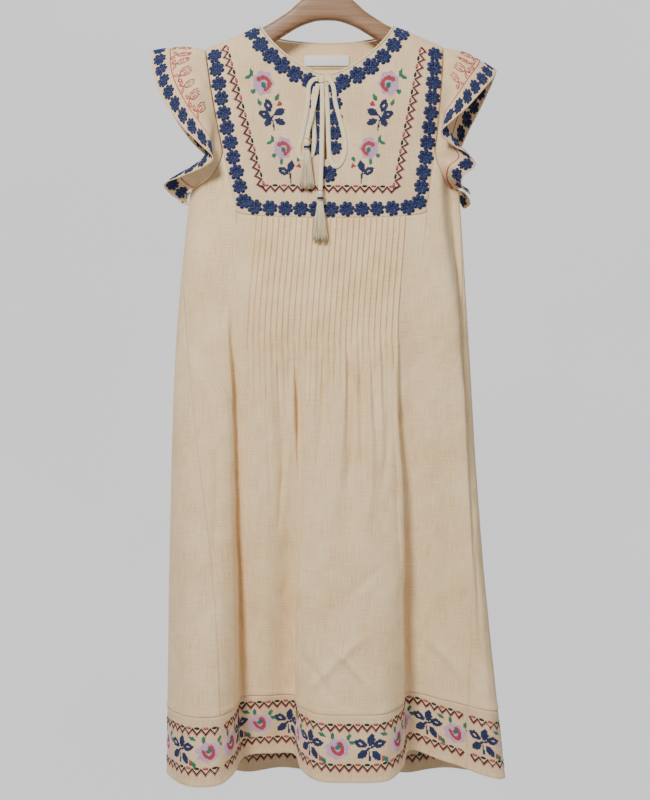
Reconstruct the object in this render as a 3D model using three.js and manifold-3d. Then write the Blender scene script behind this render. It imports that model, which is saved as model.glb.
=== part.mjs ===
// A peasant dress on a wooden hanger: a cream cotton dress with a bib yoke, a pintucked front,
// flutter sleeves, a deep hem band, and a neck slit closed by a tied bow with two tassels.
// Millimetres, +Z up. The front faces -Y, and +X is on the viewer's right.
// The origin is the top of the hook's inner bend, where a rail carries the hanger.
import * as THREE from 'three';
import { mergeVertices } from 'three/addons/utils/BufferGeometryUtils.js';
import Module from 'manifold-3d';

const wasm = await Module();
wasm.setup();

// Cloth and seams
const wall = 1.2;
const seamGap = 0.3;
const sideSeamGap = 0.6;
const step = 1e-3;

// Shoulders: the cloth rolls over the hanger along a straight, sloping line
const neckPointX = 100;
const neckPointZ = -111;
const shoulderSlope = 0.42;
const shoulderRoll = 70;

// Neckline and slit
const frontNeckDepth = 84;
const backNeckDepth = 16;
const neckRoundness = 1.5;
const backNeckRoundness = 2.4;
const slitX = -2;
const slitWidth = 3.4;
const slitFootZ = -316;
const slitTopShare = 0.28;
const slitFootShare = 0.49;

// Bib yoke: half its width at the shoulder and at each height below, and how far it leans to the
// right on its way down
const shoulderHalf = 175.5;
const yokeEdge = [
  { half: 164, z: -240 },
  { half: 154.5, z: -300 },
  { half: 146, z: -345 },
  { half: 139, z: -380 },
  { half: 124, z: -397 },
];
const yokeFootZ = -402;
const yokeLean = { top: -4, foot: 7 };
const armholeCornerZ = -302;
const backYokeFootZ = -165;

// Pintucks, stitched from the yoke's foot to the tuck ends
const tuckCount = 27;
const tuckPitch = 8.3;
const tuckWidth = 3;
const tuckHeight = 2.2;
const tuckLeadX = -116;

// Levels of the underarm, the band's seam, and the skirt's rows between the tuck ends and the band
const underarm = 0.72;
const bandTop = 3.64;
const skirtLevels = [2.03, 2.14, 2.27, 2.42, 2.6, 2.8, 3, 3.2, 3.42, bandTop];

// Heights of the level sections; each fold has its own height at the hem
const levelZ = { chest: -280, yokeFoot: -398, tuckEnd: -596, midSkirt: -880 };

// Crests and valleys round the body, from the left side over the front to the right side and back
// behind: x and y at each level, and the height of the hem there
const folds = [
  { fold: 'left side', chest: [-192, -2], yokeFoot: [-207, -6], tuckEnd: [-223, -16],
    midSkirt: [-230, -26], hem: [-232, -42], hemZ: -1206 },
  { fold: 'left crest', chest: [-178, -22], yokeFoot: [-190, -28], tuckEnd: [-196, -44],
    midSkirt: [-200, -64], hem: [-200, -94], hemZ: -1205 },
  { fold: 'left lobe edge', chest: [-158, -32], yokeFoot: [-162, -37], tuckEnd: [-164, -51],
    midSkirt: [-160, -74], hem: [-156, -101], hemZ: -1204 },
  { fold: 'left step', chest: [-138, -36], yokeFoot: [-140, -40], tuckEnd: [-148, -50],
    midSkirt: [-141, -62], hem: [-134, -72], hemZ: -1198 },
  { fold: 'first valley', chest: [-118, -37], yokeFoot: [-117, -41], tuckEnd: [-130, -44],
    midSkirt: [-130, -36], hem: [-122, -22], hemZ: -1190 },
  { fold: 'small ridge', chest: [-84, -38], yokeFoot: [-83, -43], tuckEnd: [-96, -50],
    midSkirt: [-88, -49], hem: [-86, -16], hemZ: -1187 },
  { fold: 'second valley', chest: [-52, -38], yokeFoot: [-51, -44], tuckEnd: [-64, -50],
    midSkirt: [-55, -36], hem: [-50, -20], hemZ: -1187 },
  { fold: 'centre left edge', chest: [-22, -38], yokeFoot: [-21, -44], tuckEnd: [-34, -53],
    midSkirt: [-38, -60], hem: [-37, -68], hemZ: -1193 },
  { fold: 'centre left crest', chest: [14, -38], yokeFoot: [15, -44], tuckEnd: [2, -55],
    midSkirt: [-8, -76], hem: [-10, -99], hemZ: -1198 },
  { fold: 'centre crest', chest: [48, -38], yokeFoot: [49, -44], tuckEnd: [36, -55],
    midSkirt: [36, -79], hem: [36, -103], hemZ: -1199 },
  { fold: 'centre right crest', chest: [80, -37], yokeFoot: [81, -43], tuckEnd: [68, -55],
    midSkirt: [76, -76], hem: [82, -98], hemZ: -1198 },
  { fold: 'centre right edge', chest: [108, -36], yokeFoot: [109, -42], tuckEnd: [96, -53],
    midSkirt: [101, -62], hem: [107, -66], hemZ: -1191 },
  { fold: 'third valley', chest: [128, -35], yokeFoot: [128, -40], tuckEnd: [118, -45],
    midSkirt: [117, -32], hem: [122, -20], hemZ: -1181 },
  { fold: 'right plane', chest: [146, -33], yokeFoot: [148, -38], tuckEnd: [152, -46],
    midSkirt: [160, -40], hem: [168, -30], hemZ: -1192 },
  { fold: 'right ridge', chest: [164, -28], yokeFoot: [168, -34], tuckEnd: [186, -42],
    midSkirt: [208, -46], hem: [222, -56], hemZ: -1204 },
  { fold: 'right slot', chest: [176, -14], yokeFoot: [181, -10], tuckEnd: [200, -24],
    midSkirt: [222, -34], hem: [246, -58], hemZ: -1210 },
  { fold: 'right side', chest: [190, 0], yokeFoot: [199, -2], tuckEnd: [211, -4],
    midSkirt: [227, -10], hem: [257, -38], hemZ: -1213 },
  { fold: 'back right turn', chest: [182, 16], yokeFoot: [190, 20], tuckEnd: [200, 22],
    midSkirt: [212, 20], hem: [232, 10], hemZ: -1224 },
  { fold: 'back right lobe', chest: [150, 27], yokeFoot: [154, 34], tuckEnd: [160, 40],
    midSkirt: [170, 44], hem: [180, 46], hemZ: -1230 },
  { fold: 'back right valley', chest: [102, 28], yokeFoot: [104, 29], tuckEnd: [108, 29],
    midSkirt: [112, 28], hem: [118, 26], hemZ: -1230 },
  { fold: 'back right crest', chest: [52, 28], yokeFoot: [54, 34], tuckEnd: [56, 41],
    midSkirt: [58, 46], hem: [60, 50], hemZ: -1231 },
  { fold: 'back middle', chest: [0, 28], yokeFoot: [0, 29], tuckEnd: [0, 31],
    midSkirt: [-2, 31], hem: [-4, 30], hemZ: -1230 },
  { fold: 'back left crest', chest: [-52, 28], yokeFoot: [-54, 34], tuckEnd: [-57, 41],
    midSkirt: [-62, 46], hem: [-66, 50], hemZ: -1231 },
  { fold: 'back left valley', chest: [-102, 28], yokeFoot: [-106, 29], tuckEnd: [-111, 29],
    midSkirt: [-116, 28], hem: [-122, 26], hemZ: -1229 },
  { fold: 'back left lobe', chest: [-150, 27], yokeFoot: [-156, 32], tuckEnd: [-166, 36],
    midSkirt: [-174, 40], hem: [-178, 44], hemZ: -1226 },
  { fold: 'back left turn', chest: [-184, 14], yokeFoot: [-196, 16], tuckEnd: [-210, 14],
    midSkirt: [-219, 12], hem: [-222, 6], hemZ: -1216 },
];
const levelNames = ['chest', 'yokeFoot', 'tuckEnd', 'midSkirt', 'hem'];
const foldCount = folds.length;
const rightSideAt = folds.findIndex((row) => row.fold === 'right side');

// Side seams, as a place round the ring at the underarm and at the hem
const leftSeam = { underarm: 0, hem: 2.35 };
const rightSeam = { underarm: rightSideAt, hem: rightSideAt - 2.4 };

// Valleys left below the tuck ends, where the fullness is let go: place across the front at the
// tuck ends, half width, depth, and how far down they fade
const gathers = [
  { x: -106, width: 4, depth: 3, reach: 0.5 },
  { x: -90, width: 6, depth: 5.5, reach: 0.8 },
  { x: -72, width: 4, depth: 3, reach: 0.4 },
  { x: -56, width: 5.5, depth: 4.5, reach: 0.65 },
  { x: -39, width: 4.5, depth: 5.5, reach: 0.6 },
  { x: -22, width: 4, depth: 3, reach: 0.4 },
  { x: -6, width: 5, depth: 3.5, reach: 0.5 },
  { x: 10, width: 4.5, depth: 5, reach: 0.5 },
  { x: 31, width: 6, depth: 4.5, reach: 0.65 },
  { x: 49, width: 4.5, depth: 3.5, reach: 0.4 },
  { x: 66, width: 5, depth: 3.5, reach: 0.5 },
  { x: 82, width: 4, depth: 3, reach: 0.4 },
  { x: 94, width: 4.5, depth: 5.5, reach: 0.9 },
];

// Flutter sleeves: where the free edge hangs for each share of the armhole seam, from the front
// underarm over the shoulder (0.5) to the back underarm
const leftSleeveEdge = [
  { share: 0.0, x: -208, y: -8, z: -374 },
  { share: 0.06, x: -226, y: -16, z: -366 },
  { share: 0.12, x: -238, y: -34, z: -352 },
  { share: 0.17, x: -212, y: -47, z: -344 },
  { share: 0.215, x: -180, y: -56, z: -333 },
  { share: 0.25, x: -163, y: -65, z: -321 },
  { share: 0.285, x: -182, y: -67, z: -301 },
  { share: 0.33, x: -209, y: -60, z: -273 },
  { share: 0.385, x: -238, y: -48, z: -230 },
  { share: 0.44, x: -254, y: -28, z: -188 },
  { share: 0.5, x: -261, y: 0, z: -146 },
  { share: 0.56, x: -254, y: 26, z: -180 },
  { share: 0.62, x: -240, y: 44, z: -222 },
  { share: 0.69, x: -212, y: 56, z: -264 },
  { share: 0.75, x: -178, y: 60, z: -300 },
  { share: 0.8, x: -186, y: 52, z: -326 },
  { share: 0.86, x: -216, y: 44, z: -346 },
  { share: 0.92, x: -226, y: 28, z: -364 },
  { share: 1.0, x: -208, y: 14, z: -374 },
];
const rightSleeveEdge = [
  { share: 0.0, x: 212, y: -12, z: -362 },
  { share: 0.06, x: 198, y: -30, z: -356 },
  { share: 0.12, x: 198, y: -39, z: -341 },
  { share: 0.17, x: 216, y: -38, z: -324 },
  { share: 0.21, x: 204, y: -45, z: -310 },
  { share: 0.25, x: 180, y: -53, z: -299 },
  { share: 0.285, x: 163, y: -62, z: -284 },
  { share: 0.325, x: 180, y: -63, z: -266 },
  { share: 0.37, x: 204, y: -53, z: -243 },
  { share: 0.42, x: 228, y: -37, z: -214 },
  { share: 0.46, x: 244, y: -19, z: -194 },
  { share: 0.5, x: 253, y: 2, z: -176 },
  { share: 0.56, x: 248, y: 24, z: -192 },
  { share: 0.62, x: 234, y: 40, z: -222 },
  { share: 0.69, x: 214, y: 52, z: -262 },
  { share: 0.75, x: 196, y: 60, z: -312 },
  { share: 0.81, x: 206, y: 56, z: -352 },
  { share: 0.87, x: 210, y: 46, z: -372 },
  { share: 0.93, x: 218, y: 30, z: -368 },
  { share: 1.0, x: 210, y: 12, z: -366 },
];
const sleeveCrown = 15;
const sleeveSeamGap = 1.7;
const sleevePuckers = 13;
const puckerHeight = 2.4;

// Neck binding, a rolled bias strip that sits just proud of the neck edge
const bindingRadius = 1.4;
const bindingRise = 1;

// Label on the inside of the back yoke
const label = { width: 69, height: 16, topZ: -144, thickness: 1 };

// Tie: a flat rouleau strip
const tie = { width: 6.4, thickness: 2.2 };
const knot = { x: -8, z: -201, lift: 2.9, radius: 5.6, height: 11 };
const tieLift = 1.5;
const tieOver = 4.2;

// Routes of the tie in the front view, with how far the strip's middle stands off the yoke
const tieRoutes = {
  tie_loop_left: [
    { x: -12.9, z: -200.4, lift: tieLift }, { x: -20, z: -201.2, lift: tieLift },
    { x: -26.5, z: -211, lift: tieLift }, { x: -28, z: -232, lift: tieLift },
    { x: -31, z: -256, lift: tieLift }, { x: -37, z: -284, lift: tieLift },
    { x: -41, z: -304, lift: tieLift }, { x: -38, z: -315, lift: tieLift },
    { x: -30, z: -318, lift: tieLift }, { x: -22, z: -310, lift: tieLift },
    { x: -18.5, z: -290, lift: tieLift }, { x: -19.5, z: -262, lift: tieLift },
    { x: -20, z: -236, lift: tieLift }, { x: -18.6, z: -220, lift: tieLift },
    { x: -16.8, z: -211.5, lift: tieLift },
  ],
  tie_loop_right: [
    { x: -3.1, z: -200.6, lift: tieLift }, { x: 3.5, z: -201.4, lift: tieLift },
    { x: 9.2, z: -212, lift: tieLift }, { x: 12, z: -234, lift: tieLift },
    { x: 19.5, z: -262, lift: tieLift }, { x: 26, z: -290, lift: tieLift },
    { x: 25.5, z: -308, lift: tieLift }, { x: 20, z: -322, lift: tieLift },
    { x: 11.5, z: -327.5, lift: tieLift }, { x: 5, z: -318, lift: tieLift },
    { x: 2.5, z: -300, lift: tieLift }, { x: 1.5, z: -268, lift: tieLift },
    { x: 0.5, z: -240, lift: tieLift }, { x: -0.6, z: -222, lift: tieLift },
    { x: -1.4, z: -212, lift: tieLift },
  ],
  tie_tail_left: [
    { x: -13.4, z: -207.8, lift: tieOver }, { x: -14.6, z: -216, lift: tieOver + 0.6 },
    { x: -17.5, z: -232, lift: tieOver + 1 }, { x: -22, z: -254, lift: tieOver + 2.4 },
    { x: -27, z: -274, lift: tieOver + 4 }, { x: -29, z: -289, lift: tieOver + 5 },
  ],
  tie_tail_right: [
    { x: -7.5, z: -207.3, lift: tieOver }, { x: -7, z: -222, lift: tieOver },
    { x: -7, z: -250, lift: tieOver }, { x: -7.6, z: -285, lift: tieOver },
    { x: -8.4, z: -320, lift: tieOver + 2 }, { x: -9.2, z: -348, lift: tieOver + 4.6 },
    { x: -9.8, z: -364, lift: tieOver + 5.6 },
  ],
};

// Tassels: head, wrap and strands, hung from the ends of the tails
const tasselHead = { radius: 4.2, neck: 3.3, length: 15 };
const tasselRings = [
  { strands: 15, root: 3.0, tip: 8.6, length: 56 },
  { strands: 9, root: 1.7, tip: 5.0, length: 58 },
  { strands: 3, root: 0.6, tip: 1.8, length: 59 },
];
const strandRadius = 0.5;
const tassels = {
  tassel_left: { x: -29.3, z: -289.6, lift: 9.4, flatten: 0.5, turn: 0.1 },
  tassel_right: { x: -9.9, z: -364.6, lift: 10.8, flatten: 0.5, turn: 0.5 },
};

// Hanger: height of the upper and lower edge and the thickness at each distance from the middle
const hangerProfile = [
  { x: 0, top: -55, foot: -100, thick: 16 },
  { x: 16, top: -57, foot: -101, thick: 16 },
  { x: 30, top: -64, foot: -105, thick: 16 },
  { x: 42, top: -74, foot: -110, thick: 16 },
  { x: 56, top: -87, foot: -118, thick: 16 },
  { x: 74, top: -99, foot: -129, thick: 16 },
  { x: 92, top: -109.5, foot: -139, thick: 15 },
  { x: 104, top: null, foot: -144, thick: 14 },
  { x: 126, top: null, foot: -153, thick: 14 },
  { x: 150, top: null, foot: -161, thick: 13 },
  { x: 164, top: null, foot: -163, thick: 10 },
  { x: 170, top: null, foot: -157, thick: 6 },
];
const hangerSeat = 1.3;
const hangerCorner = 5;
const hook = { wire: 4, innerRadius: 20, stemFootZ: -62, tipAngle: 205 };

// Colours
const cream = { color: 0xdccdb0, roughness: 0.9, metalness: 0 };
const finishes = {
  cloth: cream,
  trim: { color: 0xe6dabf, roughness: 0.85, metalness: 0 },
  label: { color: 0xeeeae2, roughness: 0.7, metalness: 0 },
  wood: { color: 0xb48a66, roughness: 0.55, metalness: 0 },
  steel: { color: 0xc4c6c8, roughness: 0.25, metalness: 1 },
};

const lerp = THREE.MathUtils.lerp;
const clamp = THREE.MathUtils.clamp;

// Smooth curve value between b and c, with a and d as its neighbours
function spline(a, b, c, d, share) {
  const bend = 2 * a - 5 * b + 4 * c - d + share * (3 * (b - c) + d - a);
  return b + 0.5 * share * (c - a + share * bend);
}

// The share of the way at which a rising function reaches a value
function solve(value, low, high, rising) {
  let [from, to] = [low, high];
  for (let i = 0; i < 50; i += 1) {
    const middle = (from + to) / 2;
    if (rising(middle) < value) from = middle;
    else to = middle;
  }
  return (from + to) / 2;
}

// Body: a net of folds by levels, smooth both ways
function netPoint(fold, level) {
  const row = folds[((fold % foldCount) + foldCount) % foldCount];
  const name = levelNames[clamp(level, 0, levelNames.length - 1)];
  const [x, y] = row[name];
  return [x, y, name === 'hem' ? row.hemZ : levelZ[name]];
}

function levelPoint(place, level) {
  const first = Math.floor(place);
  const near = [-1, 0, 1, 2].map((offset) => netPoint(first + offset, level));
  return [0, 1, 2].map((axis) => spline(...near.map((point) => point[axis]), place - first));
}

function shoulderZ(x) {
  return neckPointZ - shoulderSlope * (Math.abs(x) - neckPointX);
}

// How far out the cloth has come, as a share, once it has dropped this far from the shoulder line
function rollShare(drop) {
  const rest = 1 - clamp(drop / shoulderRoll, 0, 1);
  return Math.sqrt(1 - rest * rest);
}

// Above the chest the cloth closes to the shoulder line, at level -1
function overShoulder(place, level) {
  const [x, y, chest] = levelPoint(place, 0);
  const top = shoulderZ(x);
  const drop = (top - chest) * (1 + level);
  return new THREE.Vector3(x, y * rollShare(drop), top - drop);
}

// Inward depth of the gathers below the tuck ends
function gatherDepth(place, level) {
  const [release, full] = [skirtLevels[0], skirtLevels[1]];
  if (level <= release || place > rightSideAt) return 0;
  const x = levelPoint(place, 2)[0];
  const swell = clamp((level - release) / (full - release), 0, 1);
  return gathers.reduce((depth, row) => {
    const fade = Math.exp(-(((level - 2) / row.reach) ** 2));
    return depth + row.depth * swell * fade * Math.exp(-(((x - row.x) / row.width) ** 2));
  }, 0);
}

function body(place, level) {
  if (level < 0) return overShoulder(place, level);
  const first = Math.min(Math.floor(level), levelNames.length - 2);
  const near = [-1, 0, 1, 2].map((offset) => levelPoint(place, first + offset));
  const at = [0, 1, 2].map((axis) => spline(...near.map((point) => point[axis]), level - first));
  return new THREE.Vector3(at[0], at[1] + gatherDepth(place, level), at[2]);
}

// The place and level of a point of the front or the back, from its x and z
function onBody(face, x, z) {
  const front = face === 'front';
  const [from, to] = front ? [0.3, rightSideAt - 0.3] : [rightSideAt + 0.6, foldCount - 0.6];
  const sign = front ? 1 : -1;
  const level = z > levelZ.chest ? -0.5 : solve(-z, 0, 2, (share) => -body(from + 4, share).z);
  const place = solve(sign * x, from, to, (share) => sign * body(share, Math.max(level, 0)).x);
  if (z <= levelZ.chest) return { place, level };
  const top = shoulderZ(x);
  return { place, level: (top - z) / (top - levelZ.chest) - 1 };
}

function seamPlace(seam, level) {
  const share = clamp((level - underarm) / (levelNames.length - 1 - underarm), 0, 1);
  return lerp(seam.underarm, seam.hem, share * share * (3 - 2 * share));
}

// The change of place that keeps two pieces apart at a side seam
function seamShift(place, level) {
  const reach = body(place + step, level).distanceTo(body(place - step, level)) / (2 * step);
  return sideSeamGap / 2 / reach;
}

// Yoke outline in the front view: down the left side, along the foot and up the right side
function leanAt(z) {
  const topZ = shoulderZ(shoulderHalf);
  return lerp(yokeLean.top, yokeLean.foot, (topZ - z) / (topZ - yokeFootZ));
}

function shoulderTip(side) {
  const x = yokeLean.top + side * shoulderHalf;
  return new THREE.Vector2(x, shoulderZ(x));
}

const yokeLine = new THREE.SplineCurve([
  shoulderTip(-1),
  ...yokeEdge.map((row) => new THREE.Vector2(leanAt(row.z) - row.half, row.z)),
  new THREE.Vector2(yokeLean.foot, yokeFootZ),
  ...[...yokeEdge].reverse().map((row) => new THREE.Vector2(leanAt(row.z) + row.half, row.z)),
  shoulderTip(1),
]);
yokeLine.arcLengthDivisions = 600;

// A point of the outline moved out by a gap
function yokeOutline(share, gap) {
  const at = yokeLine.getPointAt(share);
  const along = yokeLine.getTangentAt(share);
  return new THREE.Vector2(at.x + along.y * gap, at.y - along.x * gap);
}

function yokeShareAtZ(side, z) {
  const left = solve(-z, 0, 0.4, (share) => -yokeLine.getPointAt(share).y);
  return side < 0 ? left : 1 - solve(-z, 0, 0.4, (share) => -yokeLine.getPointAt(1 - share).y);
}

function yokeShareAtX(x) {
  return solve(x, 0.3, 0.7, (share) => yokeLine.getPointAt(share).x);
}

// Shares of the outline, from the armhole corner to the first tuck, that yoke and panel both use
function outlineShares(side) {
  const tuck = side < 0 ? tuckPlaces[0].from : tuckPlaces.at(-1).to;
  const corner = yokeShareAtZ(side, armholeCornerZ);
  const middle = side < 0 ? slitTopShare : 1 - slitTopShare;
  const foot = yokeShareAtX(body(tuck, 1).x);
  const upper = shares(3).slice(0, -1).map((along) => lerp(corner, middle, along));
  return [...upper, ...shares(5).map((along) => lerp(middle, foot, along))];
}

// Armhole edge from the underarm (share 0) to the yoke's side at the armhole corner (share 1)
function armholeCurve(face, side, share, gap) {
  const edge = yokeOutline(yokeShareAtZ(side, armholeCornerZ), gap);
  const corner = onBody(face, edge.x, edge.y);
  const ends = { front: [0, rightSideAt], back: [foldCount, rightSideAt] };
  const end = ends[face][side < 0 ? 0 : 1];
  const turn = (share * Math.PI) / 2;
  const rise = (gap - seamGap) / (levelZ.chest - levelZ.yokeFoot);
  return {
    place: lerp(end, corner.place, Math.sin(turn)),
    level: lerp(underarm - rise, corner.level, 1 - Math.cos(turn)),
  };
}

// Solids from surfaces
function solidFrom(positions, triangles) {
  const geometry = new THREE.BufferGeometry();
  geometry.setAttribute('position', new THREE.Float32BufferAttribute(positions, 3));
  geometry.setIndex(triangles);
  geometry.computeVertexNormals();
  return geometry;
}

// Triangles between two rows of vertices, each with a rising key along it
function stitch(triangles, upper, lower) {
  let [i, j] = [0, 0];
  const even = upper.length === lower.length;
  while (i < upper.length - 1 || j < lower.length - 1) {
    const upperDone = i === upper.length - 1;
    const lowerDone = j === lower.length - 1;
    const upperNext = even ? i <= j : !upperDone && !lowerDone && upper[i + 1].key <= lower[j + 1].key;
    if (lowerDone || (!upperDone && upperNext)) {
      triangles.push(upper[i].index, lower[j].index, upper[i + 1].index);
      i += 1;
    } else {
      triangles.push(upper[i].index, lower[j].index, lower[j + 1].index);
      j += 1;
    }
  }
}

// A point of a sheet and the way out from it, for a sheet that takes [across, down] places
function outFrom(sheet, across, down, highest = -Infinity) {
  const right = sheet(across + step, down).sub(sheet(across - step, down));
  const fall = sheet(across, down + step).sub(sheet(across, Math.max(down - step, highest)));
  return { point: sheet(across, down), out: fall.cross(right).normalize() };
}

function onBodySheet(place, level) {
  return outFrom(body, place, level, -1);
}

// A closed wall on a sheet. Rows hold [across, down] places; the outer rows may be finer.
function clothWall(sheet, outerRows, innerRows, lift = () => 0, thickness = wall) {
  const positions = [];
  const addRow = (row, offset) => row.map(([across, down]) => {
    const at = sheet(across, down);
    const point = at.point.addScaledVector(at.out, offset(across, down));
    positions.push(point.x, point.y, point.z);
    return { index: positions.length / 3 - 1, key: across };
  });
  const outer = outerRows.map((row) => addRow(row, (a, d) => thickness / 2 + lift(a, d)));
  const inner = innerRows.map((row) => addRow(row, () => -thickness / 2));
  const triangles = [];
  const last = outer.length - 1;
  for (let r = 0; r < last; r += 1) {
    stitch(triangles, outer[r], outer[r + 1]);
    const under = [];
    stitch(under, inner[r], inner[r + 1]);
    triangles.push(...under.reverse());
    const ends = [[outer[r + 1][0], outer[r][0], inner[r][0], inner[r + 1][0]],
      [outer[r].at(-1), outer[r + 1].at(-1), inner[r + 1].at(-1), inner[r].at(-1)]];
    ends.forEach(([a, b, c, d]) => {
      triangles.push(a.index, b.index, c.index, a.index, c.index, d.index);
    });
  }
  stitch(triangles, inner[0], outer[0]);
  stitch(triangles, outer[last], inner[last]);
  return solidFrom(positions, triangles);
}

function shares(count) {
  return Array.from({ length: count + 1 }, (_, i) => i / count);
}

function grid(columns, rows) {
  return rows.map((down) => columns.map((across) => [across, down]));
}

// Front panel: fanned sides below the armholes, tucks hung from the yoke's foot, and the open skirt
const tuckPlaces = Array.from({ length: tuckCount }, (_, i) => {
  const x = tuckLeadX + i * tuckPitch;
  const reach = (dx) => solve(x + dx, 2, 13, (place) => levelPoint(place, 2)[0]);
  return { from: reach(-tuckWidth / 2), peak: reach(-tuckWidth / 6), to: reach(tuckWidth / 2) };
});

function tuckTop(place) {
  const x = body(place, 1).x;
  const foot = yokeOutline(yokeShareAtX(x), seamGap);
  return onBody('front', foot.x, foot.y).level;
}

// The top edge beside the tucks, from the underarm along the armhole and the yoke's side
function sideTop(side) {
  const armhole = shares(6).slice(0, -1).map((along) => armholeCurve('front', side, along, seamGap));
  const beside = outlineShares(side).slice(0, -1).map((share) => {
    const edge = yokeOutline(share, seamGap);
    return onBody('front', edge.x, edge.y);
  });
  return [...armhole, ...beside];
}

function tuckedRow(share, tuckColumns) {
  const sideSpan = (side, tuckPlace) => sideTop(side).map((top, i, all) => {
    const seam = side < 0 ? leftSeam : rightSeam;
    const level = lerp(top.level, 2, share);
    const place = lerp(top.place, lerp(seamPlace(seam, 2), tuckPlace, i / all.length), share);
    if (i > 0) return [place, level];
    const sewn = seamPlace(seam, level);
    return [sewn - side * seamShift(sewn, Math.max(level, underarm)), level];
  });
  const first = tuckColumns[0];
  const last = tuckColumns.at(-1);
  const tucks = tuckColumns.map((place) => [place, lerp(tuckTop(place), 2, share)]);
  return [...sideSpan(-1, first), ...tucks, ...sideSpan(1, last).reverse()];
}

// A row of the open skirt between the side seams, at an even number of columns for each fold
function skirtRow(level, perFold) {
  const from = seamPlace(leftSeam, level);
  const to = seamPlace(rightSeam, level);
  const inside = [];
  for (let place = Math.ceil((from + 0.12) * perFold) / perFold; place < to - 0.12; place += 1 / perFold) {
    inside.push(place);
  }
  const ends = [from + seamShift(from, level), to - seamShift(to, level)];
  return [ends[0], ...inside, ends[1]].map((place) => [place, level]);
}

function frontPanel() {
  const flutes = tuckPlaces.flatMap((tuck) => [tuck.from, tuck.peak, tuck.to]);
  const odd = tuckPlaces.filter((_, i) => i % 2 === 1).map((tuck) => tuck.peak);
  const plain = [flutes[0], ...odd, flutes.at(-1)];
  const tuckRows = [0, 0.3, 0.62, 1];
  const density = (level) => (level < 2.6 ? 6 : 4);
  const skirt = skirtLevels.map((level) => skirtRow(level, density(level)));
  const outer = [...tuckRows.map((share) => tuckedRow(share, flutes)), ...skirt];
  const inner = [...tuckRows.map((share) => tuckedRow(share, plain)), ...skirt];
  const peaks = new Set(tuckPlaces.map((tuck) => tuck.peak));
  const lift = (place, level) => (peaks.has(place) && level <= 2 ? tuckHeight : 0);
  return clothWall(onBodySheet, outer, inner, lift);
}

// Back panel: between the side seams, armholes and the back yoke's seam. Each column has its place
// on the top edge and the place it hangs to below the armholes.
function backColumns(hangFrom, hangTo) {
  const fan = 1.5;
  const sideOf = (side) => {
    const corner = yokeShareAtZ(side, armholeCornerZ);
    const end = yokeShareAtZ(side, backYokeFootZ - seamGap);
    const seam = side > 0 ? hangFrom : hangTo;
    const turn = armholeCurve('back', side, 1, seamGap).place + side * 0.45;
    const armhole = shares(6).slice(0, -1).map((along) => {
      return { top: armholeCurve('back', side, along, seamGap), hang: lerp(seam, turn, along) };
    });
    const beside = shares(4).map((along) => {
      const edge = yokeOutline(lerp(corner, end, along), 0);
      return { top: onBody('back', edge.x, edge.y), hang: turn + side * fan * along };
    });
    return [...armhole, ...beside];
  };
  const right = sideOf(1);
  const left = sideOf(-1).reverse();
  const ends = [right.at(-1), left[0]];
  const fromX = body(ends[0].top.place, 0).x;
  const toX = body(ends[1].top.place, 0).x;
  const across = shares(20).slice(1, -1).map((along) => {
    const top = onBody('back', lerp(fromX, toX, along), backYokeFootZ - seamGap);
    return { top, hang: lerp(ends[0].hang, ends[1].hang, along) };
  });
  return [...right, ...across, ...left];
}

function backSeams(level) {
  const from = seamPlace(rightSeam, level);
  const to = seamPlace(leftSeam, level) + foldCount;
  return [from + seamShift(from, level), to - seamShift(to, level)];
}

function backRow(level, count) {
  return shares(count).map((across) => [lerp(...backSeams(level), across), level]);
}

function backPanel() {
  const hangLevel = 1.1;
  const columns = backColumns(...backSeams(hangLevel));
  const [from, to] = backSeams(underarm);
  const upper = [0, 0.15, 0.45, 1].map((share) => columns.map(({ top, hang }) => {
    return [lerp(clamp(top.place, from, to), hang, share), lerp(top.level, hangLevel, share)];
  }));
  const lower = [1.5, 2, ...skirtLevels].map((level) => backRow(level, columns.length - 1));
  const rows = [...upper, ...lower];
  return clothWall(onBodySheet, rows, rows);
}

// Hem bands carry on the panels' folds below the band seam
const bandLevels = (() => {
  const top = bandTop + seamGap / (levelZ.midSkirt - folds[0].hemZ);
  return [top, lerp(top, 4, 0.5), 4];
})();

function frontBand() {
  const rows = bandLevels.map((level) => skirtRow(level, 4));
  return clothWall(onBodySheet, rows, rows);
}

function backBand() {
  const rows = bandLevels.map((level) => backRow(level, 40));
  return clothWall(onBodySheet, rows, rows);
}

// Neck edges in the front view
function frontNeckZ(x) {
  const share = clamp(Math.abs(x) / neckPointX, 0, 1);
  return neckPointZ - frontNeckDepth * (1 - share ** neckRoundness) ** (1 / neckRoundness);
}

function backNeckZ(x) {
  const share = clamp(Math.abs(x) / neckPointX, 0, 1);
  return neckPointZ - backNeckDepth * (1 - share ** backNeckRoundness) ** (1 / backNeckRoundness);
}

// Neckline and slit of the yoke as one open line, from the left neck point to the right one
function yokeInnerEdge(share) {
  const side = share < 0.5 ? -1 : 1;
  const along = side < 0 ? share : 1 - share;
  const halfSlit = slitWidth / 2;
  if (along < slitTopShare) {
    const turn = (along / slitTopShare) ** 1.15;
    const x = lerp(side * neckPointX, slitX + side * halfSlit, turn);
    return new THREE.Vector2(x, frontNeckZ(x));
  }
  const topZ = frontNeckZ(slitX);
  if (along < slitFootShare) {
    const down = (along - slitTopShare) / (slitFootShare - slitTopShare);
    const z = lerp(topZ, slitFootZ, down);
    return new THREE.Vector2(slitX + side * halfSlit, z);
  }
  const round = (0.5 - along) / (0.5 - slitFootShare);
  return new THREE.Vector2(slitX + side * halfSlit * round, slitFootZ - halfSlit * (1 - round));
}

// Near the shoulder line places crowd together, where the cloth turns over the hanger
function crowdedShare(across) {
  const ease = across < 0.5 ? across : 1 - across;
  const crowded = across < 0.5 ? 2 * ease * ease : 1 - 2 * ease * ease;
  return lerp(across, crowded, (1 - 2 * ease) ** 2);
}

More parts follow.
